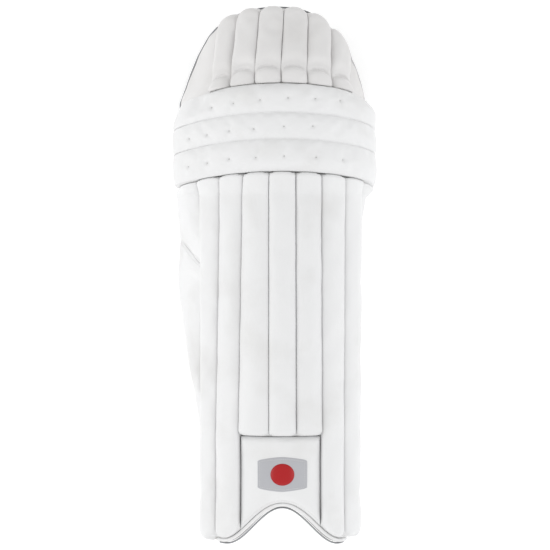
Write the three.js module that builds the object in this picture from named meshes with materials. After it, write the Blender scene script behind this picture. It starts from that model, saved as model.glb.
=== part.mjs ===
// A cricket batting pad for one leg, lying on its back as it rests on the ground.
// Millimetres. +X is to the right as the front is looked at, +Y runs from the foot to the thigh, and +Z is up,
// out of the front. Each piece is cut as a flat panel and wrapped on one curved surface, the face of the backing.
// A place on that surface is (s, level): s is the distance across, measured round the curve from the centre
// line, and level is the distance up the pad from the tips of the foot. A height is measured out from the face.
import * as THREE from "three";

// Lengths up the pad, from the foot to the thigh
const instepDepth = 53;
const instepPanelLength = 96;
const shinBolsterLength = 365;
const kneeRollWidths = [44, 36, 40];
const thighFootLength = 23;
const thighBolsterLength = 87;

// Widths across the pad, measured round the face
const bolsterPitch = 34;
const thighTopPitch = 31.5;
const backingHalfWidth = 124;
const instepHalfWidth = 86;
const kneeRollHalfLength = 168;

// Thicknesses and heights
const crownHeight = 128;
const liningThickness = 8;
const bolsterHeight = 18;
const bolsterSideHeight = 3;
const kneeRollHeight = 25;
const kneeRollSideHeight = 13;
const kneeRollEndHeight = 22;
const thighBolsterHeight = 15;
const instepPanelHeight = 9;
const wingPadding = 8;
const outerFlapPadding = 6;
const innerFlapPadding = 15;
const wingEdge = 2.5;
const wingFullWidth = 50;
const pipingSize = 4;
const bindingSize = 3;
const thinEdge = 0.8;
const seamGap = 0.5;
const kneeRollSeat = 0.9;
const bindingSeat = 0.9;
const groundTouch = 0.001;

// Shapes of the outline
const kneeArch = 19;
const thighArch = 25;
const outerHeelRise = 4;
const innerHeelRise = 20;
const pipedHalfWidth = 97;
const outerCrestDrop = 24;
const innerCrestDrop = 40;
const crestBend = 2.6;
const crestShift = -12;
const bolsterEnd = 14;
const kneeRollEnd = 24;
const tipOverhang = 3;
const tipRound = 7;
const creaseHalfLength = 8;
const kneeFlare = 30;
const flapLength = 42;

// Badge
const badgeWidth = 64;
const badgeLength = 48;
const badgeThickness = 1.8;
const badgeCorner = 7;
const badgeShareUp = 0.47;
const ballDiameter = 30;
const ballThickness = 1.2;

// Straps
const strapThickness = 2.4;
const strapHold = 40;
const kneeStrapWidth = 46;
const calfStrapWidth = 46;
const ankleStrapWidth = 38;

// Levels worked out from the lengths
const archLevel = instepDepth;
const panelTop = archLevel + instepPanelLength;
const kneeBottom = panelTop + shinBolsterLength;
const kneeTop = kneeBottom + kneeRollWidths.reduce((sum, width) => sum + width, 0);
const creaseLevel = kneeTop + thighFootLength;
const crestLevel = creaseLevel + thighBolsterLength;
const flareLevel = kneeBottom - kneeFlare;

// Sections of the face up the pad: the shape of each, the height of its centre line as a share of the crown's
// height, and its shift to the right in bolster pitches. The face runs straight from each section to the next
const SECTIONS = [
  { level: 0, shape: "ankle", crown: 1.06, shift: 0.35 },
  { level: panelTop, shape: "ankle", crown: 1.0, shift: 0.35 },
  { level: flareLevel, shape: "shin", crown: 1.0, shift: 0.35 },
  { level: kneeBottom, shape: "knee", crown: 1.04, shift: 0.35 },
  { level: kneeTop, shape: "knee", crown: 1.09, shift: 0.3 },
  { level: creaseLevel, shape: "thigh", crown: 1.08, shift: 0.29 },
  { level: crestLevel, shape: "thigh", crown: 0.86, shift: 0.43 },
];

// Slope of the face in degrees for each shape, at places counted in bolster pitches from the centre line
const SLOPES = [
  { at: -8.0, ankle: -64, shin: -67, knee: -88, thigh: -66 },
  { at: -4.6, ankle: -62, shin: -66, knee: -80, thigh: -57 },
  { at: -4.0, ankle: -58, shin: -62, knee: -54, thigh: -53 },
  { at: -3.5, ankle: -44, shin: -45, knee: -35, thigh: -47 },
  { at: -2.5, ankle: -32, shin: -33, knee: -26, thigh: -36 },
  { at: -1.5, ankle: -22, shin: -24, knee: -17, thigh: -26 },
  { at: -0.5, ankle: -8, shin: -8, knee: -6, thigh: -8 },
  { at: 0.5, ankle: 8, shin: 8, knee: 7, thigh: 7 },
  { at: 1.5, ankle: 20, shin: 20, knee: 20, thigh: 22 },
  { at: 2.5, ankle: 36, shin: 37, knee: 35, thigh: 36 },
  { at: 3.5, ankle: 80, shin: 86, knee: 60, thigh: 56 },
  { at: 4.0, ankle: 83, shin: 88, knee: 84, thigh: 68 },
  { at: 4.6, ankle: 86, shin: 89, knee: 88, thigh: 76 },
  { at: 8.0, ankle: 88, shin: 90, knee: 89, thigh: 80 },
];

// Sides of the shin bolsters in pitches from the centre line, under the knee rolls and at the instep
const BOLSTER_SIDES = [
  { knee: -3.62, instep: -3.52 },
  { knee: -2.5, instep: -2.68 },
  { knee: -1.5, instep: -1.7 },
  { knee: -0.5, instep: -0.5 },
  { knee: 0.5, instep: 0.52 },
  { knee: 1.5, instep: 1.54 },
  { knee: 2.5, instep: 2.44 },
  { knee: 3.62, instep: 3.36 },
];

// How far a wing stands out past the backing, as a share of the way to the ground
const WING_WIDTHS = [
  { level: 0.6 * panelTop, share: 0.03 },
  { level: panelTop, share: 0.07 },
  { level: panelTop + 0.155 * shinBolsterLength, share: 0.28 },
  { level: panelTop + 0.31 * shinBolsterLength, share: 0.53 },
  { level: panelTop + 0.5 * shinBolsterLength, share: 0.86 },
  { level: panelTop + 0.6 * shinBolsterLength, share: 1 },
  { level: kneeBottom, share: 1 },
];

// How far the side of the knee and thigh stands out past the backing, as a share of the way to the ground
const SIDE_WIDTHS = [
  { level: kneeBottom, outer: 1, inner: 1 },
  { level: kneeTop, outer: 0.97, inner: 0.95 },
  { level: creaseLevel, outer: 0.76, inner: 0.7 },
  { level: creaseLevel + 0.15 * thighBolsterLength, outer: 0.68, inner: 0.36 },
  { level: creaseLevel + 0.35 * thighBolsterLength, outer: 0.6, inner: 0.14 },
  { level: creaseLevel + 0.56 * thighBolsterLength, outer: 0.48, inner: 0.05 },
  { level: creaseLevel + 0.79 * thighBolsterLength, outer: 0.27, inner: 0.05 },
  { level: creaseLevel + 0.89 * thighBolsterLength, outer: 0.1, inner: 0.05 },
];

const SIDES = {
  outer: { sign: -1, sideTop: creaseLevel + 0.89 * thighBolsterLength },
  inner: { sign: 1, sideTop: creaseLevel + 0.56 * thighBolsterLength },
};

const LEATHER = { color: 0xf0f0ef, roughness: 0.5, metalness: 0 };
const LINING = { color: 0xe4e4e2, roughness: 0.9, metalness: 0 };
const BINDING = { color: 0xa6a7a9, roughness: 0.7, metalness: 0 };
const WEBBING = { color: 0xe8e8e6, roughness: 0.95, metalness: 0 };
const PATCH = { color: 0xbfc0c5, roughness: 0.45, metalness: 0.1 };
const RED = { color: 0xb01217, roughness: 0.5, metalness: 0 };

const mix = (a, b, t) => a + (b - a) * t;
const clamp01 = (t) => Math.min(1, Math.max(0, t));

// A column of a table at a level, straight from row to row
function along(table, column, level) {
  let value = table[0][column];
  for (let i = 1; i < table.length; i++) {
    const [from, to] = [table[i - 1], table[i]];
    value = mix(value, to[column], clamp01((level - from.level) / (to.level - from.level)));
  }
  return value;
}

// The point of one section at s, a height above the face. The section is a chain of arcs from the centre line,
// and its slope changes evenly along each arc
function onSection({ shape, crown, shift }, s, height) {
  const rows = SLOPES.map((row) => ({ s: row.at * bolsterPitch, slope: THREE.MathUtils.degToRad(row[shape]) }));
  const slopeOf = (at) => {
    const next = Math.max(1, rows.findIndex((row) => row.s >= at));
    const [a, b] = [rows[next - 1], rows[next]];
    return mix(a.slope, b.slope, (at - a.s) / (b.s - a.s));
  };
  const direction = Math.sign(s) || 1;
  const stops = rows.map((row) => row.s).filter((at) => at * direction > 0 && (s - at) * direction > 0);
  if (direction < 0) stops.reverse();
  stops.push(s);
  let [from, slope, x, drop] = [0, slopeOf(0), 0, 0];
  for (const to of stops) {
    const next = slopeOf(to);
    const half = (next - slope) / 2;
    const chord = (to - from) * (Math.abs(half) < 1e-6 ? 1 : Math.sin(half) / half);
    x += chord * Math.cos(slope + half);
    drop += chord * Math.sin(slope + half);
    [from, slope] = [to, next];
  }
  x += shift * bolsterPitch + height * Math.sin(slope);
  return { x, z: crown * crownHeight - drop + height * Math.cos(slope) };
}

// Drop of the knee rolls from the middle to their ends, more at the top of the knee than at the bottom
function archDrop(s, level) {
  const up = clamp01((level - kneeBottom) / (kneeTop - kneeBottom));
  return mix(kneeArch, thighArch, up) * (s / kneeRollHalfLength) ** 2;
}

// The point at (s, level) and a height above the face, kept out of the ground. Above the shin, the levels run in
// arches, as the knee rolls do
function onFace(s, level, height = 0) {
  const last = SECTIONS.length - 1;
  const next = SECTIONS.findIndex((row, i) => i > 0 && (row.level >= level || i === last));
  const [below, above] = [SECTIONS[next - 1], SECTIONS[next]];
  const t = (level - below.level) / (above.level - below.level);
  const [a, b] = [onSection(below, s, height), onSection(above, s, height)];
  const arched = clamp01((level - kneeBottom + kneeFlare) / kneeFlare);
  const z = mix(a.z, b.z, t);
  return new THREE.Vector3(mix(a.x, b.x, t), level - archDrop(s, level) * arched, z < groundTouch ? 0 : z);
}

// Distance round the curve at which the layer at a height comes down to the ground, on the side -1 or 1
function groundReach(sign, level, height) {
  let [low, high] = [backingHalfWidth, 7.9 * bolsterPitch];
  for (let i = 0; i < 26; i++) {
    const middle = (low + high) / 2;
    if (onFace(sign * middle, level, height).z > 0) low = middle;
    else high = middle;
  }
  return low;
}

// Outline of the foot: the arch over the shoe, a tip at each side of it, and the rise to the edge
function footLine(s) {
  const out = Math.abs(s) / instepHalfWidth;
  if (out < 1) return instepDepth * 0.5 * (1 + Math.cos(Math.PI * out));
  const past = (Math.abs(s) - instepHalfWidth) / (backingHalfWidth - instepHalfWidth);
  return (s < 0 ? outerHeelRise : innerHeelRise) * past * past;
}

// Pitch of the thigh bolsters, which narrow towards the top
function thighPitch(level) {
  return mix(bolsterPitch, thighTopPitch, clamp01((level - kneeTop) / (crestLevel - kneeTop)));
}

// Half width of the backing: one width up to the top of the knee, and the width of the thigh bolsters above it
const backingEdge = (level) => (level < kneeTop ? backingHalfWidth : 3 * thighPitch(level));

// Outline of the top of the thigh
function crestLine(s) {
  const out = Math.abs(s - crestShift) / (3 * thighTopPitch);
  const drop = (s < crestShift ? outerCrestDrop : innerCrestDrop) * out ** crestBend;
  return crestLevel - drop + archDrop(s, crestLevel);
}

// How far the level of a line moves when the line is drawn inside itself by a distance
function insetOf(line, s, distance) {
  return distance * Math.hypot(1, (line(s + 1) - line(s - 1)) / 2);
}

const wingReach = (sign, level, height = 0) =>
  mix(backingHalfWidth, groundReach(sign, level, height), along(WING_WIDTHS, "share", level));

const sideReach = (side, level, height = 0) =>
  mix(backingEdge(level), groundReach(SIDES[side].sign, level, height), along(SIDE_WIDTHS, side, level));

// Shares from 0 to 1: evenly spaced, or closer together towards both ends
const even = (count) => Array.from({ length: count + 1 }, (_, i) => i / count);
const rounded = (count) => even(count).map((t) => 0.5 - 0.5 * Math.cos(Math.PI * t));

// Levels from stop to stop, with a number of rows for each stretch
function rows(stops, counts) {
  const stretch = (i) => even(counts[i]).slice(1).map((t) => mix(stops[i], stops[i + 1], t));
  return [stops[0], ...counts.flatMap((_, i) => stretch(i))];
}

// A closed solid between an outer and an inner sheet of points, each a function of two whole numbers
function slab(outer, inner, columns, rowCount) {
  const positions = [];
  for (const sheet of [outer, inner])
    for (let i = 0; i < columns; i++)
      for (let j = 0; j < rowCount; j++) positions.push(...sheet(i, j).toArray());
  const sheetSize = columns * rowCount;
  const index = [];
  const quad = (a, b, c, d) => index.push(a, b, c, a, c, d);
  for (let i = 0; i < columns - 1; i++)
    for (let j = 0; j < rowCount - 1; j++) {
      const [a, b] = [i * rowCount + j, (i + 1) * rowCount + j];
      quad(a, b, b + 1, a + 1);
      quad(a + sheetSize, a + 1 + sheetSize, b + 1 + sheetSize, b + sheetSize);
    }
  const rim = [];
  for (let i = 0; i < columns - 1; i++) rim.push(i * rowCount);
  for (let j = 0; j < rowCount - 1; j++) rim.push((columns - 1) * rowCount + j);
  for (let i = columns - 1; i > 0; i--) rim.push(i * rowCount + rowCount - 1);
  for (let j = rowCount - 1; j > 0; j--) rim.push(j);
  rim.forEach((a, k) => {
    const b = rim[(k + 1) % rim.length];
    quad(a, a + sheetSize, b + sheetSize, b);
  });
  const geometry = new THREE.BufferGeometry();
  geometry.setAttribute("position", new THREE.Float32BufferAttribute(positions, 3));
  geometry.setIndex(index);
  geometry.computeVertexNormals();
  return geometry;
}

// A panel wrapped on the face. left and right give its sides at a level and a height of its edge, levels gives the
// levels of its rows at a place s, high and low give its heights at a share across, a place and a level, edges
// holds the heights of its outer and inner edge, and across lists its columns
function panel({ left, right, levels, high, low, edges = [0, 0], across }) {
  const sheet = (height, edge) => {
    const at = (level, u) => mix(left(level, edge), right(level, edge), u);
    return (i, j) => {
      let s = at(panelTop, across[i]);
      for (let settle = 0; settle < 6; settle++) s = at(levels(s)[j], across[i]);
      const level = levels(s)[j];
      return onFace(s, level, height(across[i], s, level));
    };
  };
  const rowCount = levels(0).length;
  return slab(sheet(high, edges[0]), sheet(low, edges[1]), across.length, rowCount);
}

// A strip along an edge of the pad. edge gives (s, level) at a share of its length; the strip lies from inset to
// inset + width outside that line
function edgeStrip({ edge, inset, width, high, low, across, count }) {
  const step = 0.002;
  const sheet = (height) => (i, j) => {
    const [s0, level0] = edge(j / count - step);
    const [s1, level1] = edge(j / count + step);
    const run = Math.hypot(s1 - s0, level1 - level0);
    const out = (inset + width * across[i]) / run;
    const [s, level] = edge(j / count);
    return onFace(s + out * (level1 - level0), level - out * (s1 - s0), height(across[i]));
  };
  return slab(sheet(high), sheet(low), across.length, count + 1);
}

const pad = new THREE.Group();

function add(name, geometry, finish) {
  const mesh = new THREE.Mesh(geometry, new THREE.MeshStandardMaterial(finish));
  mesh.name = name;
  pad.add(mesh);
}

const roundAcross = (u) => Math.sin(Math.PI * u) ** 0.8;

// Height of a padded roll at a share of its width, from the height of its sides to its full height
const padded = (u, side, full) => side + (full - side) * roundAcross(u);

// Rounding of a padded end: 0 at the end, 1 past a distance from it
function roundEnd(distance, length) {
  const t = clamp01(distance / length);
  return Math.sqrt(t * (2 - t));
}

// Stops that follow a rounded end from its tip
const endStops = (tip, length) => [0, 0.1, 0.4, 1].map((share) => tip + length * share);

function backing(levels, columns) {
  return panel({
    left: (level) => -backingEdge(level),
    right: backingEdge,
    levels,
    high: () => 0,
    low: () => -liningThickness,
    across: even(columns),
  });
}

// Everything below the knee ends at this level, under the lowest knee roll
const shinHead = kneeBottom - seamGap;

const shinBackingLevels = (s) => rows([footLine(s), panelTop, flareLevel, shinHead], [4, 2, 4]);
const kneeBackingLevels = () => rows([kneeBottom + seamGap / 2, kneeTop - seamGap], [3]);
const thighBackingLevels = (s) => rows([kneeTop + seamGap / 2, creaseLevel, crestLine(s)], [3, 4]);

// Side of a shin bolster at a level
function bolsterSide(index, level) {
  const row = BOLSTER_SIDES[index];
  return bolsterPitch * mix(row.instep, row.knee, clamp01((level - panelTop) / shinBolsterLength));
}

const footInset = (s) => insetOf(footLine, s, pipingSize + 3 * seamGap);
const insidePiping = (s) => footLine(s) + footInset(s);

// Goes from 0 to 1 past the end of the piping, which lies under the bolster at each side
const pastPiping = (s) => clamp01((Math.abs(s) - pipedHalfWidth) / pipingSize - 0.5);

function shinBolster(index) {
  const overPanel = index >= 2 && index <= 4;
  const atSide = index === 0 || index === 6;
  const piped = atSide ? (s) => mix(insidePiping(s), footLine(s), pastPiping(s)) : insidePiping;
  const bottom = overPanel ? () => panelTop + seamGap : piped;
  const levels = (s) => {
    const foot = endStops(bottom(s), bolsterEnd);
    const head = endStops(shinHead, -bolsterEnd / 2).reverse();
    return overPanel
      ? rows([...foot, flareLevel, ...head], [1, 1, 1, 2, 2, 1, 1, 1])
      : rows([...foot, panelTop, flareLevel, ...head], [1, 1, 1, 2, 2, 2, 1, 1, 1]);
  };
  const height = (u, s, level) => {
    const ends = Math.min(roundEnd(level - bottom(s), bolsterEnd), roundEnd(shinHead - level, bolsterEnd / 2));
    return seamGap + thinEdge + padded(u, bolsterSideHeight, bolsterHeight) * mix(0.4, 1, ends);
  };
  return panel({
    left: (level) => bolsterSide(index, level) + seamGap / 2,
    right: (level) => bolsterSide(index + 1, level) - seamGap / 2,
    levels,
    high: height,
    low: () => seamGap,
    across: rounded(8),
  });
}

const panelHeight = seamGap + thinEdge + instepPanelHeight;

function instepPanel() {
  const bottom = insidePiping;
  const top = panelTop - seamGap;
  return panel({
    left: (level) => bolsterSide(2, level) + seamGap / 2,
    right: (level) => bolsterSide(5, level) - seamGap / 2,
    levels: (s) => rounded(6).map((t) => mix(bottom(s), top, t)),
    high: (u, s, level) => {
      const v = clamp01((level - bottom(s)) / (top - bottom(s)));
      return panelHeight - instepPanelHeight * (1 - (roundAcross(u) * roundAcross(v)) ** 0.35);
    },
    low: () => seamGap,
    across: rounded(12),
  });
}

// A thin patch on the instep panel, whose half width is a function of the distance from its middle
function patch(halfWidth, halfLength, base, thickness, rowShares) {
  const middle = mix(archLevel, panelTop, badgeShareUp);
  return panel({
    left: (level) => -halfWidth(level - middle),
    right: (level) => halfWidth(level - middle),
    levels: () => rowShares.map((t) => mix(middle - halfLength, middle + halfLength, t)),
    high: () => base + thickness,
    low: () => base,
    across: even(4),
  });
}

function badge() {
  const halfWidth = (distance) => {
    const past = Math.max(0, Math.abs(distance) - badgeLength / 2 + badgeCorner);
    return badgeWidth / 2 - badgeCorner + Math.sqrt(Math.max(0, badgeCorner ** 2 - past ** 2));
  };
  const corner = badgeCorner / badgeLength;
  const shares = [0, 0.13 * corner, 0.5 * corner, corner];
  const rowShares = [...shares, ...shares.map((t) => 1 - t).reverse()];
  return patch(halfWidth, badgeLength / 2, panelHeight + seamGap, badgeThickness, rowShares);
}

function badgeBall() {
  const radius = ballDiameter / 2;
  const flat = 0.97;
  const halfWidth = (distance) => Math.sqrt(Math.max(0, radius ** 2 - distance ** 2));
  return patch(halfWidth, radius * flat, panelHeight + 2 * seamGap + badgeThickness, ballThickness, rounded(6));
}

function kneeRoll(index) {
  const start = kneeRollWidths.slice(0, index).reduce((sum, width) => sum + width, kneeBottom) + seamGap / 2;
  const width = kneeRollWidths[index] - seamGap;
  return panel({
    left: () => -kneeRollHalfLength,
    right: () => kneeRollHalfLength,
    levels: () => rounded(6).map((t) => start + width * t),
    high: (u, s, level) => {
      const end = roundEnd(kneeRollHalfLength - Math.abs(s), kneeRollEnd);
      const side = mix(kneeRollSideHeight, kneeRollEndHeight, (s / kneeRollHalfLength) ** 2);
      const height = padded(clamp01((level - start) / width), side, kneeRollHeight);
      return kneeRollSeat + thinEdge + height * mix(0.25, 1, end);
    },
    low: () => kneeRollSeat,
    across: even(24),
  });
}

function thighBolster(index) {
  const middle = (index - 2.5) * thighTopPitch;
  const top = (s) => {
    const across = clamp01(Math.abs(s - middle) / (0.52 * thighTopPitch));
    return crestLine(s) + tipOverhang - tipRound * (1 - Math.sqrt(1 - across * across));
  };
  const stops = (s) => [
    kneeTop + seamGap,
    kneeTop + thighFootLength / 4,
    creaseLevel - creaseHalfLength,
    creaseLevel,
    creaseLevel + creaseHalfLength,
    ...endStops(top(s), -bolsterEnd).reverse(),
  ];
  return panel({
    left: (level) => (index - 3) * thighPitch(level) + seamGap / 2,
    right: (level) => (index - 2) * thighPitch(level) - seamGap / 2,
    levels: (s) => rows(stops(s), [1, 1, 1, 1, 1, 1, 1, 1]),
    high: (u, s, level) => {
      const crease = clamp01(Math.abs(level - creaseLevel) / creaseHalfLength);
      const fold = mix(0.4, 1, Math.sqrt(crease));
      const end = mix(0.35, 1, roundEnd(top(s) - level, bolsterEnd));
      return seamGap + thinEdge + thighBolsterHeight * roundAcross(u) * fold * end;
    },
    low: () => seamGap,
    across: rounded(6),
  });
}

// The left and right sides of a panel that lies between a near and a far distance on one side of the pad
function outward(sign, near, far) {
  return sign > 0 ? [near, far] : [(level, edge) => -far(level, edge), (level, edge) => -near(level, edge)];
}

// A padded wing beside the shin, with the levels of its rows. headShare is below 1 where its head tucks under the
// lowest knee roll, and flapPadding is the extra padding there
function wing(sign, levels, headShare, flapPadding) {
  const far = (level, edge) => wingReach(sign, level, edge);
  const [left, right] = outward(sign, () => backingHalfWidth + seamGap, far);
  const ends = (s) => [levels(s)[0], levels(s).at(-1)];
  const padding = (level) => wingPadding * clamp01((far(level, 0) - backingHalfWidth) / wingFullWidth);
  return panel({
    left,
    right,
    levels,
    high: (u, s, level) => {
      const [bottom, top] = ends(s);
      const v = headShare * clamp01((level - bottom) / (top - bottom));
      const flap = flapPadding * clamp01((level - shinHead + flapLength) / flapLength) ** 0.8;
      return wingEdge + (padding(level) + flap) * (roundAcross(u) * roundAcross(v)) ** 0.5;
    },
    low: () => -liningThickness,
    edges: [wingEdge, -liningThickness],
    across: rounded(6),
  });
}

// Diagonal seam across the outer wing, low at the bolsters and high at the back edge
function wingSeam(s) {
  const out = (Math.abs(s) - backingHalfWidth) / (wingReach(-1, kneeBottom) - backingHalfWidth);
  return panelTop + shinBolsterLength * (0.645 + 0.13 * out);
}

const wingFoot = WING_WIDTHS[0].level;
const wingTaper = WING_WIDTHS.slice(1, -1).map((row) => row.level);
const lowerWingLevels = (s) => rows([wingFoot, ...wingTaper, wingSeam(s) - seamGap], [1, 1, 2, 2, 1, 2]);
const upperWingLevels = (s) => rows([wingSeam(s), flareLevel, shinHead], [2, 4]);
const innerWingLevels = () => rows([wingFoot, ...wingTaper, flareLevel, shinHead], [1, 1, 2, 2, 1, 2, 4]);

// A side wall beside the backing, from the level of its first row to that of its last
function sideWall(side, levels) {
  const { sign } = SIDES[side];
  const far = (level, edge) => sideReach(side, level, edge);
  const [left, right] = outward(sign, (level) => backingEdge(level) + seamGap, far);
  return panel({
    left,
    right,
    levels: () => levels,
    high: () => 0,
    low: () => -liningThickness,
    edges: [0, -liningThickness],
    across: even(5),
  });
}

const kneeSideLevels = rows([kneeBottom + seamGap, kneeTop - seamGap], [3]);

// Levels of the corners along the edge of a thigh's side wall, each one a row of the table of widths
function thighSideStops(side) {
  return SIDE_WIDTHS.map((row) => row.level).filter((level) => level >= kneeTop && level <= SIDES[side].sideTop + 1);
}

function thighSideLevels(side) {
  const stops = thighSideStops(side);
  return rows(stops, [3, ...stops.slice(2).map(() => 1)]);
}

// Edges that are bound, each a function from a share of its length to (s, level)
const footEdge = (t) => {
  const s = mix(-1, 1, t) * pipedHalfWidth;
  return [s, footLine(s)];
};
const crestEdge = (t) => {
  const s = mix(1, -1, t) * 3 * thighTopPitch * 0.97;
  return [s, crestLine(s)];
};
const sideEdge = (side) => (t) => {
  const { sign } = SIDES[side];
  const stops = thighSideStops(side);
  const place = (sign > 0 ? t : 1 - t) * (stops.length - 1);
  const index = Math.min(stops.length - 2, Math.max(0, Math.floor(place)));
  const level = mix(stops[index], stops[index + 1], place - index);
  return [sign * sideReach(side, level), level];
};
const footCount = 30;
const crestCount = 20;
const sideCount = (side) => (thighSideStops(side).length - 1) * 3;

function binding(edge, count) {
  return edgeStrip({
    edge,
    inset: bindingSeat,
    width: bindingSize,
    high: (u) => -liningThickness * mix(0.1, 0.35, u),
    low: () => -liningThickness,
    across: even(1),
    count,
  });
}

function piping(edge, count) {
  return edgeStrip({
    edge,
    inset: -pipingSize - seamGap,
    width: pipingSize,
    high: (u) => seamGap + thinEdge + pipingSize * 0.8 * roundAcross(u),
    low: () => seamGap,
    across: even(2),
    count,
  });
}

// The middle line of a strap at a level: held along the lining on each side, then turned towards the other side
// and straight across behind the leg. reach gives how far the lining reaches on each side
function strapLine(level, reach) {
  const depth = -(liningThickness + seamGap + strapThickness / 2);
  const onLining = (sign, share) => onFace(sign * (reach(sign, level) - strapHold * share), level, depth);
  const corners = [-1, 1].map((sign) => onLining(sign, 0.3));
  const end = (sign) => {
    const [corner, other] = sign < 0 ? corners : [...corners].reverse();
    const held = [1.3, 1.1, 0.9].map((share) => onLining(sign, share));
    const turn = new THREE.QuadraticBezierCurve3(onLining(sign, 0.7), corner, corner.clone().lerp(other, 0.15));
    return [...held, ...turn.getPoints(5)];
  };
  const across = [0.38, 0.62].map((t) => corners[0].clone().lerp(corners[1], t));
  return [...end(-1), ...across, ...end(1).reverse()];
}

const kneeSideReach = (sign, level) => sideReach(sign < 0 ? "outer" : "inner", level);

function strap(level, width, reach) {
  const lines = [-0.5, 0, 0.5].map((share) => strapLine(level + width * share, reach));
  const sheet = (side) => (i, j) => {
    const line = lines[j];
    const [before, after] = [line[Math.max(0, i - 1)], line[Math.min(line.length - 1, i + 1)]];
    const out = new THREE.Vector3(before.z - after.z, 0, after.x - before.x).normalize();
    return line[i].clone().addScaledVector(out, (side * strapThickness) / 2);
  };
  return slab(sheet(1), sheet(-1), lines[0].length, lines.length);
}

add("shin_backing", backing(shinBackingLevels, 24), LINING);
add("knee_backing", backing(kneeBackingLevels, 18), LINING);
add("thigh_backing", backing(thighBackingLevels, 18), LINING);
for (let i = 0; i < BOLSTER_SIDES.length - 1; i++) add(`shin_bolster_${i + 1}`, shinBolster(i), LEATHER);
add("instep_panel", instepPanel(), LEATHER);
add("badge", badge(), PATCH);
add("badge_ball", badgeBall(), RED);
for (let i = 0; i < kneeRollWidths.length; i++) add(`knee_roll_${i + 1}`, kneeRoll(i), LEATHER);
for (let i = 0; i < 6; i++) add(`thigh_bolster_${i + 1}`, thighBolster(i), LEATHER);
add("outer_wing_lower", wing(-1, lowerWingLevels, 1, 0), LEATHER);
add("outer_wing_upper", wing(-1, upperWingLevels, 0.75, outerFlapPadding), LEATHER);
add("inner_wing", wing(1, innerWingLevels, 0.75, innerFlapPadding), LEATHER);
for (const side of ["outer", "inner"]) {
  add(`${side}_knee_side`, sideWall(side, kneeSideLevels), LEATHER);
  add(`${side}_thigh_side`, sideWall(side, thighSideLevels(side)), LEATHER);
  add(`${side}_side_binding`, binding(sideEdge(side), sideCount(side)), BINDING);
}
add("instep_binding", binding(footEdge, footCount), BINDING);
add("instep_piping", piping(footEdge, footCount), LEATHER);
add("crest_binding", binding(crestEdge, crestCount), BINDING);
add("knee_strap", strap((kneeBottom + kneeTop) / 2, kneeStrapWidth, kneeSideReach), WEBBING);
add("calf_strap", strap(kneeBottom - 0.22 * shinBolsterLength, calfStrapWidth, wingReach), WEBBING);
add("ankle_strap", strap(panelTop + 0.08 * shinBolsterLength, ankleStrapWidth, wingReach), WEBBING);

// The finished pad stands over the middle of its own box, on the ground at z = 0
const box = new THREE.Box3().setFromObject(pad);
const middle = box.getCenter(new THREE.Vector3());
pad.position.set(-middle.x, -middle.y, -box.min.z);

export default pad;
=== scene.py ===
"""The looks of a cricket batting pad that lies on its back, in metres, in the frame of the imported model.

Each cover is a flat panel wrapped on one curved surface, the face of the backing. A place on it is
(s, level): s is the distance round the curve from the centre line, level is the distance up from the tips of
the foot, and a height is measured out from the face. Lengths are in millimetres until a mesh is made.
"""

import bpy
import numpy as np
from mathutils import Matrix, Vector


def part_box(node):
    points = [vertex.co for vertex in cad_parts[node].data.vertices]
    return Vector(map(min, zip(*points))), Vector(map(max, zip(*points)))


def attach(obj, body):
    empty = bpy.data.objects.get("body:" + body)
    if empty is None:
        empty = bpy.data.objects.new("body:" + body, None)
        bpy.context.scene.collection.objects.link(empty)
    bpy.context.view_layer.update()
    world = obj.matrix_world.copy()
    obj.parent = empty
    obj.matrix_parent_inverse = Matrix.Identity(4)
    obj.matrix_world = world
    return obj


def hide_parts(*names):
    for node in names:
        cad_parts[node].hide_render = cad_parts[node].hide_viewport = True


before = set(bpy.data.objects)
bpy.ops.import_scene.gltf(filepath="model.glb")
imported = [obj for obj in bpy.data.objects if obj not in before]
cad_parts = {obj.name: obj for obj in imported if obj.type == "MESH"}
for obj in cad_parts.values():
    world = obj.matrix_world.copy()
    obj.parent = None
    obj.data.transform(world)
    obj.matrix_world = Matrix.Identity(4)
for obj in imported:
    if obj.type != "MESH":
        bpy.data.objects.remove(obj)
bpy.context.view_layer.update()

# Lengths up the pad
instep_depth = 53.0
instep_panel_length = 96.0
shin_bolster_length = 365.0
knee_roll_widths = (44.0, 36.0, 40.0)
thigh_foot_length = 23.0
thigh_bolster_length = 87.0

# Widths round the face
bolster_pitch = 34.0
thigh_top_pitch = 31.5
backing_half_width = 124.0
instep_half_width = 86.0
knee_roll_half_length = 168.0

# Thicknesses and heights
crown_height = 128.0
lining_thickness = 8.0
bolster_height = 18.0
knee_roll_height = 25.0
knee_roll_side = 12.0
knee_roll_seam = 19.5
knee_roll_end_side = 22.5
flap_seam = 8.5
thigh_bolster_height = 15.0
instep_panel_height = 9.0
wing_padding = 8.0
outer_flap_padding = 8.0
inner_flap_padding = 16.0
wing_edge = 2.5
wing_full_width = 50.0
piping_size = 4.0
binding_size = 3.0
cord_taper = 3.0
thin_edge = 0.8
seam_gap = 0.5
cover_gap = 0.12
roll_seat = 0.9

# Soft details: lengths of the rounded ends, depths of the folds and dimples, gathers at the sewn ends
knee_roll_end_round = 24.0
flap_tip_round = 13.0
fold_depth = 4.6
dimple_depth = 2.4
gather_length = 9.0
gather_depth = 0.3
gather_pitch = 5.5

# Shapes of the outline
knee_arch = 19.0
thigh_arch = 25.0
outer_heel_rise = 4.0
inner_heel_rise = 20.0
piped_half_width = 97.0
outer_crest_drop = 24.0
inner_crest_drop = 40.0
crest_bend = 2.6
crest_shift = -12.0
tip_overhang = 3.0
tip_round = 7.0
knee_flare = 30.0
flap_length = 95.0
flap_slant = 75.0

# Badge and straps
badge_width = 64.0
badge_length = 48.0
badge_share_up = 0.47
ball_diameter = 30.0
strap_width = 46.0
ankle_strap_width = 38.0
strap_thickness = 2.4
strap_hold = 40.0

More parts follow.
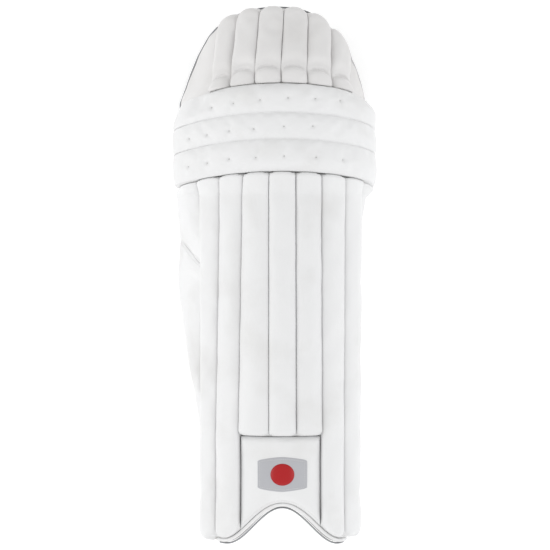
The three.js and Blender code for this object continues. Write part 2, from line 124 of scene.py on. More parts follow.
# Levels worked out from the lengths
panel_top = instep_depth + instep_panel_length
knee_bottom = panel_top + shin_bolster_length
knee_top = knee_bottom + sum(knee_roll_widths)
crease_level = knee_top + thigh_foot_length
crest_level = crease_level + thigh_bolster_length
flare_level = knee_bottom - knee_flare
shin_head = knee_bottom - seam_gap

# Sections of the face: level, shape, height of the centre line as a share of the crown, shift in pitches
SECTIONS = (
    (0.0, "ankle", 1.06, 0.35),
    (panel_top, "ankle", 1.0, 0.35),
    (flare_level, "shin", 1.0, 0.35),
    (knee_bottom, "knee", 1.04, 0.35),
    (knee_top, "knee", 1.09, 0.3),
    (crease_level, "thigh", 1.08, 0.29),
    (crest_level, "thigh", 0.86, 0.43),
)

# Slope of the face in degrees for each shape, at places in pitches from the centre line
SLOPE_PLACES = np.array([-8.0, -4.6, -4.0, -3.5, -2.5, -1.5, -0.5, 0.5, 1.5, 2.5, 3.5, 4.0, 4.6, 8.0])
SLOPES = {
    "ankle": (-64, -62, -58, -44, -32, -22, -8, 8, 20, 36, 80, 83, 86, 88),
    "shin": (-67, -66, -62, -45, -33, -24, -8, 8, 20, 37, 86, 88, 89, 90),
    "knee": (-88, -80, -54, -35, -26, -17, -6, 7, 20, 35, 60, 84, 88, 89),
    "thigh": (-66, -57, -53, -47, -36, -26, -8, 7, 22, 36, 56, 68, 76, 80),
}

# Sides of the shin bolsters in pitches: first under the knee rolls, then at the instep
BOLSTER_SIDES_KNEE = (-3.62, -2.5, -1.5, -0.5, 0.5, 1.5, 2.5, 3.62)
BOLSTER_SIDES_INSTEP = (-3.52, -2.68, -1.7, -0.5, 0.52, 1.54, 2.44, 3.36)

# How far a wing stands out past the backing, as a share of the way to the ground: level, share
WING_WIDTHS = (
    (0.6 * panel_top, 0.03),
    (panel_top, 0.07),
    (panel_top + 0.155 * shin_bolster_length, 0.28),
    (panel_top + 0.31 * shin_bolster_length, 0.53),
    (panel_top + 0.5 * shin_bolster_length, 0.86),
    (panel_top + 0.6 * shin_bolster_length, 1.0),
    (knee_bottom, 1.0),
)

# The same for the sides of the knee and thigh: level, outer side, inner side
SIDE_WIDTHS = (
    (knee_bottom, 1.0, 1.0),
    (knee_top, 0.97, 0.95),
    (crease_level, 0.76, 0.7),
    (crease_level + 0.15 * thigh_bolster_length, 0.68, 0.36),
    (crease_level + 0.35 * thigh_bolster_length, 0.6, 0.14),
    (crease_level + 0.56 * thigh_bolster_length, 0.48, 0.05),
    (crease_level + 0.79 * thigh_bolster_length, 0.27, 0.05),
    (crease_level + 0.89 * thigh_bolster_length, 0.1, 0.05),
)
outer_side_top = crease_level + 0.89 * thigh_bolster_length
inner_side_top = crease_level + 0.56 * thigh_bolster_length

# Stitched dimples of the knee rolls: roll, place across in pitches, share up the roll
DIMPLES = (
    (0, -3.63, 0.44), (0, -2.82, 0.43), (0, -1.93, 0.45), (0, -0.93, 0.42), (0, 0.06, 0.45), (0, 1.18, 0.45),
    (0, 2.19, 0.46),
    (1, -3.59, 0.41), (1, -2.81, 0.39), (1, -1.91, 0.4), (1, -0.99, 0.38), (1, 0.07, 0.45), (1, 1.07, 0.5),
    (2, -2.62, 0.37), (2, -1.74, 0.39), (2, -0.75, 0.41), (2, 0.22, 0.46), (2, 1.19, 0.49), (2, 2.12, 0.54),
)

# Height of the seam at each side of the shin bolsters, from the left one to the right one
SEAM_HEIGHTS = (4.0, 11.0, 10.5, 11.0, 9.0, 9.5, 11.0, 3.0)


def mix(a, b, t):
    return a + (b - a) * t


def smooth(t):
    """Goes from 0 to 1 with level ends: three t squared less two t cubed."""
    t = np.clip(t, 0, 1)
    return t * t * (3 - 2 * t)


def spaced(count, ease=0.6):
    """Shares from 0 to 1, closer together at both ends: even steps mixed with a half cosine."""
    t = np.linspace(0, 1, count)
    return (1 - ease) * t + ease * (0.5 - 0.5 * np.cos(np.pi * t))


def arc_ends(shape):
    """Places, slopes, distances across and drops at the ends of the arcs that make one shape of the face.

    On each arc the slope changes evenly, so its chord is the length times sine of half the turn over half the
    turn.
    """
    places = SLOPE_PLACES * bolster_pitch
    slopes = np.radians(np.array(SLOPES[shape], float))
    half = np.diff(slopes) / 2
    chords = np.diff(places) * np.sinc(half / np.pi)
    across = np.concatenate([[0], np.cumsum(chords * np.cos(slopes[:-1] + half))])
    drops = np.concatenate([[0], np.cumsum(chords * np.sin(slopes[:-1] + half))])
    return places, slopes, across, drops


def along_arcs(ends, s):
    """Distance across, drop and slope at s: the end of the last arc before s and the chord from there."""
    places, slopes, across, drops = ends
    i = np.clip(np.searchsorted(places, s, side="right") - 1, 0, len(places) - 2)
    slope = np.interp(s, places, slopes)
    half = (slope - slopes[i]) / 2
    chord = (s - places[i]) * np.sinc(half / np.pi)
    return across[i] + chord * np.cos(slopes[i] + half), drops[i] + chord * np.sin(slopes[i] + half), slope


ARCS = {shape: arc_ends(shape) for shape in SLOPES}
LEVELS = np.array([row[0] for row in SECTIONS])
COVERS = {}
AIR_FRAMES = 20

# Moved by measured_offset further down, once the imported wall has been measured
offset = np.zeros(3)


def arch_drop(s, level):
    """Drop of the knee rolls from their middle, with the square of s, more at the top of the knee."""
    up = np.clip((level - knee_bottom) / (knee_top - knee_bottom), 0, 1)
    return mix(knee_arch, thigh_arch, up) * (s / knee_roll_half_length) ** 2


def on_face(s, level, height=0.0):
    """The point at (s, level) and a height out of the face, in millimetres.

    Each section is a chain of arcs, and the face runs straight from each section to the next. Above the shin
    the levels run in arches, as the knee rolls do.
    """
    s, level, height = np.broadcast_arrays(*(np.asarray(part, float) for part in (s, level, height)))
    xs, zs = [], []
    for _, shape, crown, shift in SECTIONS:
        across, drop, slope = along_arcs(ARCS[shape], s)
        across_middle, drop_middle, _ = along_arcs(ARCS[shape], np.array(0.0))
        xs.append(across - across_middle + shift * bolster_pitch + height * np.sin(slope))
        zs.append(crown * crown_height - (drop - drop_middle) + height * np.cos(slope))
    i = np.clip(np.searchsorted(LEVELS, level, side="left") - 1, 0, len(LEVELS) - 2)
    t = (level - LEVELS[i]) / (LEVELS[i + 1] - LEVELS[i])

    def at_level(rows):
        below, above = (np.take_along_axis(np.array(rows), k[None], 0)[0] for k in (i, i + 1))
        return mix(below, above, t)

    x, z = at_level(xs), np.maximum(at_level(zs), 0)
    arched = np.clip((level - flare_level) / knee_flare, 0, 1)
    return np.stack([x, level - arch_drop(s, level) * arched, z], -1) + offset


REACH_LEVELS = np.linspace(0, crest_level, 120)


def ground_reach(sign, level, height):
    """Distance round the curve at which the layer at a height comes down to the ground, found by halving."""
    low = np.full(REACH_LEVELS.shape, backing_half_width)
    high = np.full(REACH_LEVELS.shape, 7.9 * bolster_pitch)
    for _ in range(24):
        middle = (low + high) / 2
        above = on_face(sign * middle, REACH_LEVELS, height)[..., 2] > 0
        low, high = np.where(above, middle, low), np.where(above, high, middle)
    return np.interp(level, REACH_LEVELS, low)


def foot_line(s):
    """Outline of the foot: half a cosine over the shoe, then a rise with the square of the way out."""
    out = np.abs(s) / instep_half_width
    arch = instep_depth * 0.5 * (1 + np.cos(np.pi * np.minimum(out, 1)))
    past = np.clip((np.abs(s) - instep_half_width) / (backing_half_width - instep_half_width), 0, None)
    return arch + np.where(s < 0, outer_heel_rise, inner_heel_rise) * past**2


def thigh_pitch(level):
    return mix(bolster_pitch, thigh_top_pitch, np.clip((level - knee_top) / (crest_level - knee_top), 0, 1))


def backing_edge(level):
    return np.where(level < knee_top, backing_half_width, 3 * thigh_pitch(level))


def crest_line(s):
    """Outline of the top of the thigh: a drop with a power of the distance from the highest place."""
    out = np.abs(s - crest_shift) / (3 * thigh_top_pitch)
    drop = np.where(s < crest_shift, outer_crest_drop, inner_crest_drop) * out**crest_bend
    return crest_level - drop + arch_drop(s, crest_level)


def inset_of(line, s, distance):
    """How far the level of a line moves when the line is drawn inside itself by a distance."""
    return distance * np.hypot(1, (line(s + 1) - line(s - 1)) / 2)


def table_column(table, column, level):
    return np.interp(level, [row[0] for row in table], [row[column] for row in table])


def wing_reach(sign, level, height=0.0):
    return mix(backing_half_width, ground_reach(sign, level, height), table_column(WING_WIDTHS, 1, level))


def side_reach(sign, level, height=0.0):
    column = 1 if sign < 0 else 2
    share = table_column(SIDE_WIDTHS, column, level)
    return mix(backing_edge(level), ground_reach(sign, level, height), share)


def waves(a, b, length, seed):
    """Soft unevenness between about -1 and 1: a sum of seven slanted sine waves with seeded directions."""
    rng = np.random.default_rng(seed)
    total = np.zeros(np.broadcast(a, b).shape)
    for _ in range(7):
        turn, phase = rng.uniform(0, np.pi), rng.uniform(0, 2 * np.pi)
        step = length * rng.uniform(0.7, 1.6)
        total = total + np.sin(2 * np.pi * (a * np.cos(turn) + b * np.sin(turn)) / step + phase)
    return total / 3.2


def quads_of(n, m):
    """Corner numbers of the quads of a grid with n by m points, each point numbered row by row."""
    a = (np.arange(n - 1)[:, None] * m + np.arange(m - 1)[None]).ravel()
    return np.stack([a, a + m, a + m + 1, a + 1], -1)


def border_of(n, m):
    """Numbers of the points round the border of such a grid, in order."""
    top = np.arange(n - 1) * m
    right = (n - 1) * m + np.arange(m - 1)
    bottom = np.arange(n - 1, 0, -1) * m + m - 1
    return np.concatenate([top, right, bottom, np.arange(m - 1, 0, -1)])


def make_piece(name, vertices, faces, finish, nodes=(), uv=None, marks=None):
    """A mesh object from points in millimetres and lists of corners, riding on the pad. finish holds its
    material and a slot name that is not used, and nodes are the solids that it stands for."""
    mesh = bpy.data.meshes.new(name)
    mesh.from_pydata((vertices * 0.001).tolist(), [], faces)
    corners = np.empty(len(mesh.loops), np.int32)
    mesh.loops.foreach_get("vertex_index", corners)
    if uv is not None:
        layer = mesh.uv_layers.new(name="Panel")
        layer.data.foreach_set("uv", (uv * 0.001)[corners].astype(np.float32).ravel())
    if marks is not None:
        attribute = mesh.attributes.new("crevice", "FLOAT", "POINT")
        attribute.data.foreach_set("value", marks.astype(np.float32).ravel())
    mesh.shade_smooth()
    mesh.materials.append(finish[0])
    piece = bpy.data.objects.new(name, mesh)
    bpy.context.scene.collection.objects.link(piece)
    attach(piece, "root")
    if nodes:
        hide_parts(*nodes)
    return piece


def shell_faces(n, m):
    """Corners of the faces of a closed shell: an outer grid, an inner grid and a wall round their borders."""
    quads, border = quads_of(n, m), border_of(n, m)
    after = np.roll(border, -1)
    wall = np.stack([border, border + n * m, after + n * m, after], -1)
    return np.concatenate([quads, quads[:, ::-1] + n * m, wall]).tolist()


def shell(name, outer, inner, finish, nodes=(), uv=None, marks=None):
    """A closed piece between an outer and an inner grid of points."""
    vertices = np.concatenate([outer.reshape(-1, 3), inner.reshape(-1, 3)])
    uv = None if uv is None else np.concatenate([uv.reshape(-1, 2)] * 2)
    # The inner side gets the full crevice mark, which paints shade on it.
    marks = None if marks is None else np.concatenate([marks.ravel(), np.ones(marks.size)])
    return make_piece(name, vertices, shell_faces(*outer.shape[:2]), finish, nodes, uv, marks)


def keep_cover(name, piece, across, upward, outer, inner):
    """Notes a cover's grids of points and the shares across and up it that they stand at."""
    COVERS[name] = dict(piece=piece, across=across, upward=upward, outer=outer, inner=inner)


def settle(left, right, bottom, top, across, upward, edge):
    """Places (s, level) of a panel's grid. The sides depend on the level and the ends on s, so both are
    worked out in turn until they agree."""
    u, v = np.meshgrid(across, upward, indexing="ij")
    s = mix(left(np.full(u.shape, panel_top), edge), right(np.full(u.shape, panel_top), edge), u)
    for _ in range(6):
        level = mix(bottom(s), top(s), v)
        s = mix(left(level, edge), right(level, edge), u)
    return u, v, s, level


def panel(name, sides, ends, heights, finish, nodes, counts, edges=(0.0, 0.0), ease=(0.6, 0.6)):
    """A closed panel wrapped on the face. heights gives the outer and inner height and the crevice mark at
    (u, v, s, level). sides are functions of the level and the edge, ends of s, and counts and ease are for
    across and upward. Its grids are kept as a cover."""
    across, upward = spaced(counts[0], ease[0]), spaced(counts[1], ease[1])
    grids = [settle(*sides, *ends, across, upward, edge) for edge in edges]
    outer_height, _, marks = heights(*grids[0])
    _, inner_height, _ = heights(*grids[1])
    outer = on_face(grids[0][2], grids[0][3], outer_height)
    inner = on_face(grids[1][2], grids[1][3], inner_height)
    uv = np.stack([grids[0][2], grids[0][3]], -1)
    piece = shell(name, outer, inner, finish, nodes, uv, marks)
    keep_cover(name, piece, across, upward, outer, inner)


def rounding(u, v, width, length, radius):
    """Share of the full thickness near a border: a quarter circle over the radius."""
    nearest = np.minimum(np.minimum(u, 1 - u) * width, np.minimum(v, 1 - v) * length)
    t = np.clip(nearest / radius, 0.04, 1)
    return np.sqrt(t * (2 - t))


def fixed(value):
    """A side or an end of a panel that stays at one value."""
    return lambda at, edge=0.0: np.full(np.shape(at), float(value))


# Materials


def node_tree_of(material):
    material.use_nodes = True
    tree = material.node_tree
    tree.nodes.clear()
    return tree


def link(tree, source, target):
    tree.links.new(source, target)


def node(tree, kind, **values):
    made = tree.nodes.new(kind)
    for key, value in values.items():
        if key.startswith("in_"):
            made.inputs[int(key[3:])].default_value = value
        else:
            setattr(made, key, value)
    return made


def math_node(tree, operation, a, b=None, clamp=False):
    made = node(tree, "ShaderNodeMath", operation=operation, use_clamp=clamp)
    for index, value in enumerate((a, b)):
        if value is None:
            continue
        if isinstance(value, (int, float)):
            made.inputs[index].default_value = value
        else:
            link(tree, value, made.inputs[index])
    return made.outputs[0]


def new_group(name, inputs, outputs):
    """An empty shader node group with number inputs and typed outputs, and its two end nodes."""
    group = bpy.data.node_groups.new(name, "ShaderNodeTree")
    for label, default in inputs:
        socket = group.interface.new_socket(label, in_out="INPUT", socket_type="NodeSocketFloat")
        socket.default_value = default
    for label, kind in outputs:
        group.interface.new_socket(label, in_out="OUTPUT", socket_type=kind)
    start, end = group.nodes.new("NodeGroupInput"), group.nodes.new("NodeGroupOutput")
    return group, start, end


def leather_grain():
    """Height of a fine pebbled grain with soft larger creases, on Object coordinates."""
    group, start, end = new_group(
        "Leather grain", [("Scale", 900.0), ("Crease", 0.35)], [("Height", "NodeSocketFloat")]
    )
    place = node(group, "ShaderNodeTexCoord").outputs["Object"]
    pebble = node(group, "ShaderNodeTexVoronoi", feature="SMOOTH_F1")
    link(group, place, pebble.inputs["Vector"])
    link(group, start.outputs["Scale"], pebble.inputs["Scale"])
    pebble.inputs["Smoothness"].default_value = 0.6
    soft = node(group, "ShaderNodeTexNoise")
    link(group, place, soft.inputs["Vector"])
    link(group, math_node(group, "MULTIPLY", start.outputs["Scale"], 0.14), soft.inputs["Scale"])
    soft.inputs["Detail"].default_value = 4.0
    creases = math_node(group, "MULTIPLY", soft.outputs["Fac"], start.outputs["Crease"])
    link(group, math_node(group, "ADD", pebble.outputs["Distance"], creases), end.inputs["Height"])
    return group


def soil_and_painted_shade():
    """Faint soil and rubbing in a few soft patches, and painted shade in the crevices: a mask that is high in
    both.
    """
    group, start, end = new_group(
        "Soil patches and painted crevice shade", [("Painted crevice shade", 0.5), ("Patches", 0.3)], [("Soil and painted shade", "NodeSocketFloat")]
    )
    place = node(group, "ShaderNodeTexCoord").outputs["Object"]
    crevice = node(group, "ShaderNodeAttribute", attribute_name="crevice").outputs["Fac"]
    cloud = node(group, "ShaderNodeTexNoise")
    link(group, place, cloud.inputs["Vector"])
    cloud.inputs["Scale"].default_value = 13.0
    cloud.inputs["Detail"].default_value = 5.0
    patch = math_node(group, "SUBTRACT", cloud.outputs["Fac"], 0.5, clamp=True)
    patch = math_node(group, "MULTIPLY", math_node(group, "MULTIPLY", patch, 4.0), start.outputs["Patches"])
    # The crevice mark, squared, darkens the crevices as painted shade.
    depth = math_node(group, "POWER", crevice, 2.0)
    depth = math_node(group, "MULTIPLY", depth, start.outputs["Painted crevice shade"])
    link(group, math_node(group, "ADD", patch, depth, clamp=True), end.inputs["Soil and painted shade"])
    return group


def weave():
    """Height and tone of a plain weave on the panel's own map: one sine across times one sine along."""
    group, start, end = new_group(
        "Weave", [("Threads", 4200.0)], [("Height", "NodeSocketFloat"), ("Tone", "NodeSocketFloat")]
    )
    place = node(group, "ShaderNodeUVMap", uv_map="Panel").outputs["UV"]
    parts = node(group, "ShaderNodeSeparateXYZ")
    link(group, place, parts.inputs[0])
    sines = []
    for axis in (0, 1):
        turn = math_node(group, "MULTIPLY", parts.outputs[axis], start.outputs["Threads"])
        sines.append(math_node(group, "SINE", turn))
    over = math_node(group, "MULTIPLY", sines[0], sines[1])
    height = math_node(group, "MULTIPLY_ADD", over, 0.5)
    height.node.inputs[2].default_value = 0.5
    link(group, height, end.inputs["Height"])
    noise = node(group, "ShaderNodeTexNoise")
    noise.inputs["Scale"].default_value = 60.0
    link(group, node(group, "ShaderNodeTexCoord").outputs["Object"], noise.inputs["Vector"])
    link(group, math_node(group, "MULTIPLY", height, noise.outputs["Fac"]), end.inputs["Tone"])
    return group


GRAIN, SOIL_AND_SHADE, WEAVE = leather_grain(), soil_and_painted_shade(), weave()


def finish_shader(name, settings):
    """A material with its Principled shader, uniform settings on the shader's own sockets."""
    material = bpy.data.materials.new(name)
    tree = node_tree_of(material)
    shader = node(tree, "ShaderNodeBsdfPrincipled")
    for label, value in settings.items():
        shader.inputs[label].default_value = value
    output = node(tree, "ShaderNodeOutputMaterial")
    link(tree, shader.outputs[0], output.inputs[0])
    return material, tree, shader


def mixed_color(tree, mask, clean, darker_tone):
    blend = node(tree, "ShaderNodeMix", data_type="RGBA")
    link(tree, mask, blend.inputs["Factor"])
    blend.inputs[6].default_value = (*clean, 1)
    blend.inputs[7].default_value = (*darker_tone, 1)
    return blend.outputs[2]


def bump(tree, height, shader, distance):
    made = node(tree, "ShaderNodeBump")
    made.inputs["Distance"].default_value = distance
    made.inputs["Strength"].default_value = 1.0
    link(tree, height, made.inputs["Height"])
    link(tree, made.outputs[0], shader.inputs["Normal"])


def leather(name, clean, darker_tone, roughness, grain_depth, crevice_shade=0.5):
    """Coated leather: grain from Object coordinates, painted shade in the crevices and soil in a few patches,
    a little duller where the painted shade and the soil lie.
    """
    coating = {"Specular IOR Level": 0.35, "Coat Weight": 0.08, "Coat Roughness": 0.35}
    material, tree, shader = finish_shader(name, coating)
    marks = node(tree, "ShaderNodeGroup", node_tree=SOIL_AND_SHADE)
    marks.inputs["Painted crevice shade"].default_value = crevice_shade
    soil_and_shade_mask = marks.outputs["Soil and painted shade"]
    # The darker tone is laid on as painted shade in the crevices and as soil in the patches.
    link(tree, mixed_color(tree, soil_and_shade_mask, clean, darker_tone), shader.inputs["Base Color"])
    rough = math_node(tree, "MULTIPLY_ADD", soil_and_shade_mask, 0.18)
    rough.node.inputs[2].default_value = roughness
    link(tree, rough, shader.inputs["Roughness"])
    grain = node(tree, "ShaderNodeGroup", node_tree=GRAIN)
    bump(tree, grain.outputs["Height"], shader, grain_depth)
    return material


def woven(name, clean, darker_tone, threads, depth, sheen):
    """Woven cloth: threads on the panel's own map, darker between them, with a soft sheen."""
    surface = {"Roughness": 0.9, "Sheen Weight": sheen, "Specular IOR Level": 0.2}
    material, tree, shader = finish_shader(name, surface)
    cloth = node(tree, "ShaderNodeGroup", node_tree=WEAVE)
    cloth.inputs["Threads"].default_value = threads
    tone = math_node(tree, "SUBTRACT", 0.75, cloth.outputs["Tone"], clamp=True)
    link(tree, mixed_color(tree, tone, clean, darker_tone), shader.inputs["Base Color"])
    bump(tree, cloth.outputs["Height"], shader, depth)
    return material


# Each leather's second colour is its darker tone, used for painted shade in the crevices and for soil in the
# patches.
WHITE_LEATHER = leather("White leather", (0.815, 0.817, 0.82), (0.6, 0.59, 0.565), 0.45, 0.00012, 0.2)
# The flap leather is a darker copy of the white leather: painted shade on the thigh flap and its side walls.
FLAP_LEATHER_SHADED = leather("Flap leather with painted shade", (0.765, 0.757, 0.752), (0.58, 0.56, 0.54), 0.47, 0.00012, 0.35)
PIPING = leather("Piping", (0.82, 0.82, 0.82), (0.6, 0.6, 0.59), 0.4, 0.00005, 0.2)
PALE_EDGE = leather("Pale edge binding", (0.66, 0.66, 0.665), (0.5, 0.5, 0.5), 0.5, 0.0001, 0.3)
# The grey edge binding is darkened past its own grey with painted shade along the foot, the crest and the
# outer side.
EDGE_GREY_SHADED = leather("Grey edge binding with painted shade", (0.33, 0.335, 0.35), (0.25, 0.25, 0.26), 0.55, 0.0001, 0.3)
PATCH_GREY = leather("Grey patch", (0.47, 0.475, 0.5), (0.38, 0.38, 0.4), 0.36, 0.00006, 0.3)
BALL_RED = leather("Red ball", (0.42, 0.006, 0.009), (0.2, 0.004, 0.005), 0.34, 0.00006, 0.5)
LINING = woven("Lining cloth", (0.8, 0.8, 0.79), (0.62, 0.62, 0.6), 2600.0, 0.0002, 0.3)
STRAP_WEB = woven("Strap webbing", (0.82, 0.82, 0.81), (0.6, 0.6, 0.58), 1800.0, 0.0004, 0.2)
THREAD = woven("Sewing thread", (0.8, 0.8, 0.79), (0.7, 0.7, 0.69), 3000.0, 0.0001, 0.1)
DIMPLE_THREAD = woven("Dimple thread", (0.5, 0.5, 0.49), (0.3, 0.3, 0.29), 3000.0, 0.0001, 0.1)
WHITE_FINISH, FLAP_SHADED_FINISH = (WHITE_LEATHER, "leather"), (FLAP_LEATHER_SHADED, "leather")

# The pad's own frame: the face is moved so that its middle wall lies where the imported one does
lining_low, lining_high = (np.array(corner) * 1000 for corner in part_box("shin_backing"))


def backing_panel(name, ends, nodes, counts):
    """Lining wall: its thickness rounds off at the borders, with soft quilted channels on the inside."""

    def heights(u, v, s, level):
        k = rounding(u, v, 2 * backing_half_width, 120, 5)
        outer = mix(-lining_thickness / 2, -0.3, k)
        inner = mix(-lining_thickness / 2, -lining_thickness + 0.3, k)
        channel = np.abs(np.sin(np.pi * s / (2 * bolster_pitch)))
        quilt = 1.2 * np.exp(-((channel / 0.12) ** 2)) * k
        return outer, inner + quilt, np.zeros(u.shape)

    left = lambda level, edge: -backing_edge(level)
    right = lambda level, edge: backing_edge(level)
    panel(name, (left, right), ends, heights, (LINING, "lining"), nodes, counts)


def measured_offset():
    """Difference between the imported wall's corners and those of the same wall worked out here."""
    s = np.linspace(-backing_half_width, backing_half_width, 249)[:, None]
    v = np.linspace(0, 1, 200)[None]
    wall = on_face(s, mix(foot_line(s), shin_head, v), 0.0)
    low, high = wall.min((0, 1)), wall.max((0, 1))
    return np.array([(lining_low[0] + lining_high[0] - low[0] - high[0]) / 2, lining_high[1] - high[1], 0.0])


offset = measured_offset()


def bolster_side(index, level):
    instep, knee = BOLSTER_SIDES_INSTEP[index], BOLSTER_SIDES_KNEE[index]
    return bolster_pitch * mix(instep, knee, np.clip((level - panel_top) / shin_bolster_length, 0, 1))


def foot_inset(s):
    return inset_of(foot_line, s, piping_size + 3 * seam_gap)


def bolster_foot(s, at_side):
    """Level of a bolster's foot: inside the piping, and at the sides down to the edge past its end."""
    inside = foot_line(s) + foot_inset(s)
    past = np.clip((np.abs(s) - piped_half_width) / piping_size - 0.5, 0, 1)
    return mix(inside, foot_line(s), past) if at_side else inside


def stuffed(across, end_low, end_high, power=3.0):
    """Share of the full height of a stuffed tube: one less the powers of the ways to its side and to its
    ends, brought back by the same power. Its corners come out round."""
    reach = across**power + end_low**power + end_high**power
    return np.clip(1 - reach, 0, 1) ** (1 / power)


def raised(height, marks):
    """Outer height, inner height and crevice mark of a cover that stands on the face past the seam gap."""
    return seam_gap + thin_edge + height, np.full(height.shape, seam_gap), marks


def shin_bolster(index):
    """Long padded rib: a stuffed tube, a little uneven along its length, gathered at its sewn ends."""
    over_panel = 2 <= index <= 4
    at_side = index in (0, 6)
    foot = fixed(panel_top + cover_gap) if over_panel else lambda s: bolster_foot(s, at_side)
    foot_round, head_round = (9.0 if over_panel else 16.0), 6.0

    def heights(u, v, s, level):
        start = foot(s)
        low = 1 - np.clip((level - start) / foot_round, 0, 1)
        high = 1 - np.clip((shin_head - level) / head_round, 0, 1)
        share = stuffed(np.abs(2 * u - 1), low, 0.8 * high, 2.5)
        seam = mix(SEAM_HEIGHTS[index], SEAM_HEIGHTS[index + 1], u) * stuffed(0 * u, low, 0.8 * high) ** 2
        bulge = 0.06 * np.exp(-(((level - start - 24) / 26) ** 2)) + (0.04 if at_side else 0.0)
        uneven = 0.28 * waves(s * 2.2, level, 90, index + 1) + 0.15 * waves(s, level * 0.3, 26, index + 11)
        from_ends = (level - start, shin_head - level)
        gather = sum(np.exp(-np.clip(away, 0, None) / gather_length) for away in from_ends)
        folds = gather_depth * gather * np.sin(2 * np.pi * s / gather_pitch + index)
        height = seam + (bolster_height - 0.6 - seam) * share * (1 + bulge) + (uneven + folds) * share
        # The crevice mark is painted shade in the valleys between the bolsters.
        return raised(height, 0.6 * (1 - share) ** 3)

    left = lambda level, edge: bolster_side(index, level) + cover_gap
    right = lambda level, edge: bolster_side(index + 1, level) - cover_gap
    counts = (19, 100 if over_panel else 132)
    panel(f"Shin_bolster_{index + 1}_cover", (left, right), (foot, fixed(shin_head)), heights, WHITE_FINISH,
          (f"shin_bolster_{index + 1}",), counts, ease=(0.85, 0.35))


def dimple_field(index, s, share_up):
    """Depth and pucker of the stitched dimples of one roll: a narrow bell, with short rays round it."""
    depth, rays = np.zeros(s.shape), np.zeros(s.shape)
    width = knee_roll_widths[index]
    for roll, pitches, up in DIMPLES:
        if roll != index:
            continue
        ds, dv = s - pitches * bolster_pitch, (share_up - up) * width
        away = np.hypot(ds, dv)
        depth = depth + np.exp(-((away / 2.4) ** 2)) + 0.22 * np.exp(-((away / 8.0) ** 2))
        rays = rays + np.exp(-((away - 4.5) / 3.5) ** 2) * np.cos(4 * np.arctan2(dv, ds) + pitches * 7)
    return depth, rays


def roll_dimples(index):
    """Points and normals at the bottom of the stitched dimples of one roll, read from its cover."""
    places = [(pitches * bolster_pitch / knee_roll_half_length / 2 + 0.5, up) for roll, pitches, up in DIMPLES
              if roll == index]
    u, v = np.array(places).T
    return cover_at(f"Knee_roll_{index + 1}_cover", u, v)


def knee_roll(index):
    """Arched padded roll: walls up to its side height, then half a round, with stitched dimples. Its sides
    are low along the free edges of the group and high along the seams between the rolls."""
    start = knee_bottom + sum(knee_roll_widths[:index]) + seam_gap / 2
    width = knee_roll_widths[index] - seam_gap
    low_side = knee_roll_side if index == 0 else knee_roll_seam
    high_side = knee_roll_side if index == 2 else knee_roll_seam

    def heights(u, v, s, level):
        t = np.clip((knee_roll_half_length - np.abs(s)) / knee_roll_end_round, 0.02, 1)
        end = mix(0.25, 1, np.sqrt(t * (2 - t)))
        side = mix(mix(low_side, high_side, smooth(v)), knee_roll_end_side, (s / knee_roll_half_length) ** 2)
        crown = np.clip(1 - np.abs(2 * v - 1) ** 2.2, 0, 1) ** 0.55
        shoulder = 12.0 * smooth((-s - 60) / 60) * smooth(v) + 8.0 * smooth((s - 70) / 50) * smooth(2 * v - 1)
        depth, rays = dimple_field(index, s, v)
        uneven = 0.35 * waves(s, level * 1.5, 75, index + 31) + 0.14 * waves(s, level, 19, index + 41)
        puffed = crown * (uneven - dimple_depth * depth + 0.25 * rays)
        full = side + (knee_roll_height - 0.4 - side) * crown - (shoulder if index == 2 else 0)
        height = full * end + puffed
        # The crevice mark is painted shade along the low edges of the roll and in its dimples.
        marks = np.clip(1 - crown, 0, 1) ** 2 * 0.6 + 0.8 * np.clip(depth, 0, 1) ** 2
        return roll_seat + thin_edge + height, np.full(u.shape, roll_seat), marks

    sides = (fixed(-knee_roll_half_length), fixed(knee_roll_half_length))
    panel(f"Knee_roll_{index + 1}_cover", sides, (fixed(start), fixed(start + width)), heights, WHITE_FINISH,
          (f"knee_roll_{index + 1}",), (230, 34), ease=(0.1, 0.75))


def thigh_bolster(index):
    """Short padded rib above the knee: a stuffed tube with a fold across it, a fuller foot below the fold
    and a round tip that hangs over the edge of the backing."""
    middle = (index - 2.5) * thigh_top_pitch
    bottom = knee_top + seam_gap

    def top(s):
        across = np.clip(np.abs(s - middle) / (0.52 * thigh_top_pitch), 0, 1)
        return crest_line(s) + tip_overhang - tip_round * (1 - np.sqrt(1 - across**2))

    def heights(u, v, s, level):
        across = np.abs(2 * u - 1)
        high = 1 - np.clip((top(s) - level) / flap_tip_round, 0, 1)
        low = 1 - np.clip((level - bottom) / 3.0, 0, 1)
        share = stuffed(across, 0.6 * low, high, 2.6)
        seam = flap_seam * stuffed(0 * u, 0.6 * low, high) ** 2 * (0.4 if index in (0, 5) else 1.0)
        away = level - (crease_level + 1.5 - 5.0 * (s / 85.0) ** 2 - 6.5 * across**2)
        fold = np.exp(-((away / 2.4) ** 2)) * np.clip(1 - (across / 0.85) ** 4, 0, 1)
        hollow = 0.3 * np.exp(-(((away - 5) / 10.0) ** 2))
        foot = 0.16 * smooth(-away / 7)
        uneven = 0.3 * waves(s * 2, level, 60, index + 51) + 0.25 * waves(s, level * 0.4, 20, index + 61)
        full = thigh_bolster_height * (0.98 + foot - hollow)
        height = seam + (full - seam) * share - fold_depth * fold * share + uneven * share
        # The crevice mark is painted shade in the valleys between the ribs and in the fold.
        marks = np.clip(0.5 * (1 - share) ** 3 + 0.3 * fold**2, 0, 1)
        return raised(height, marks)

    left = lambda level, edge: (index - 3) * thigh_pitch(level) + cover_gap
    right = lambda level, edge: (index - 2) * thigh_pitch(level) - cover_gap
    panel(f"Thigh_bolster_{index + 1}_cover", (left, right), (fixed(bottom), top), heights, FLAP_SHADED_FINISH,
          (f"thigh_bolster_{index + 1}",), (21, 68), ease=(0.85, 0.3))


